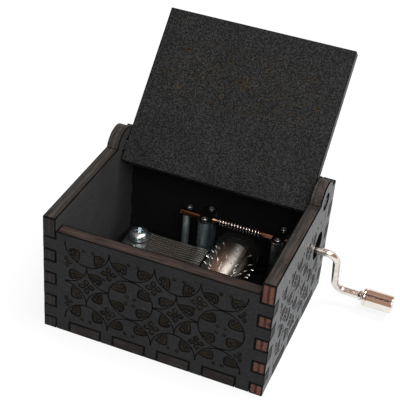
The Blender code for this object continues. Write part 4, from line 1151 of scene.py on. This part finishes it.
def drum_look():
    """Turned nickel whose shine runs along the cylinder, with painted shade darkening it towards its rear end."""
    look = Look("drum_nickel", 0.32, 1.0, 0.5)
    cloud = look.noise(500.0, 3.0, 0.6)
    tone = look.ramp(cloud, [(0.35, (0.66, 0.62, 0.56)), (0.62, (0.86, 0.83, 0.77))])
    # Painted shade: the colour falls to a fifth towards the cylinder's rear end.
    depth = look.math("ADD", look.math("MULTIPLY", look.along("Y"), 50.0), 0.5)
    look.colour(look.shaded(1.0, tone, depth, [(0.45, 1.0), (0.75, 0.5), (0.95, 0.2)]))
    look.rough(cloud, 0.28, 0.36)
    look.fill(look.shader, {"Anisotropic": 0.85, "Anisotropic Rotation": 0.25})
    round_axis = look.new("Tangent", {})
    round_axis.direction_type = "RADIAL"
    round_axis.axis = "Y"
    look.fill(look.shader, {"Tangent": round_axis.outputs["Tangent"]})
    return look.material


def comb_look():
    """Ground steel, darker at the screw end in painted shade and lighter along the teeth in painted light."""
    look = Look("comb_ground_steel", 0.38, 1.0, 0.5)
    zone = look.math("ADD", look.math("MULTIPLY", look.along("X"), 50.0), 1.0)
    # Painted shade at the screw end and painted light along the teeth.
    tone = look.ramp(zone, [(0.18, (0.19, 0.19, 0.185)), (0.38, (0.285, 0.283, 0.262))])
    look.colour(look.shaded(0.3, tone, look.fibres("X", 140.0, 7000.0, 2.0, 0.5), [(0.3, 0.55), (0.7, 1.0)]))
    look.rough(look.noise(700.0, 3.0), 0.30, 0.46)
    return look.material


def make_movement():
    """Everything inside the box and the crank."""
    bed = metal("bed_blackened", (0.055, 0.055, 0.058), 0.45, 0.7, "X")
    rest = metal("rest_steel", (0.12, 0.12, 0.12), 0.45, 0.7, "Y")
    stand = metal("stand_blued", (0.30, 0.39, 0.42), 0.5, 0.6, "Z")
    post = metal("end_pin_steel", (0.50, 0.60, 0.62), 0.5, 0.75, "Z")
    zinc = metal("screw_zinc_plate", (0.72, 0.84, 0.88), 0.26, 0.75)
    steel = metal("screw_steel", (0.50, 0.50, 0.52), 0.3, 0.7)
    nickel = drum_look()
    pins = metal("pin_steel", (0.92, 0.90, 0.86), 0.34, 0.8)
    wire = metal("wire_steel", (0.85, 0.84, 0.83), 0.2, 0.75)
    knob = metal("knob_nickel", (0.84, 0.79, 0.73), 0.10, 0.92, None, 500.0, 0.0000005)
    black = plastic("black_gloss", (0.002, 0.002, 0.0022), (0.004, 0.004, 0.0045), 0.12)
    dress("bedplate", bed, "box", 0.12)
    dress("comb_rest", rest, "box", 0.10)
    # A darker copy of the blued stand steel: painted shade on the right stand.
    shade = metal("stand_shaded", (0.17, 0.19, 0.20), 0.42, 0.6, "Z")
    for side, _ in STANDS:
        dress(side + "_stand", shade if side == "right" else stand, "box", 0.06)
        dress(side + "_keeper", black, "box", 0.12, steel)
    make_end_pin(post)
    for i in range(3):
        dress(f"base_screw_{i + 1}", steel, "box", 0.08)
    dress("worm_wheel", plastic("wheel_satin", 0.005, 0.009, 0.18), "cylinder", 0.09)
    dress("cylinder_plug", black, "cylinder", 0.12)
    dress("cylinder_arbor", steel, "cylinder", 0.10)
    make_comb(comb_look())
    make_screws(zinc, steel)
    make_crank(rod_look(), wire, knob)
    make_cylinder(nickel, pins)


make_camera()
bpy.context.scene.view_settings.view_transform = "Standard"
make_world()
make_floor()
lamp("key", (0.25, -0.60, 0.74), (0.35, 0.5), 5.0, True)
lamp("fill", (0.6, -0.35, 0.5), (0.4, 0.4), 1.5, False)
lamp("top", (0.30, 0.10, 0.88), (0.3, 0.5), 4.5, True)
make_panels()
make_movement()
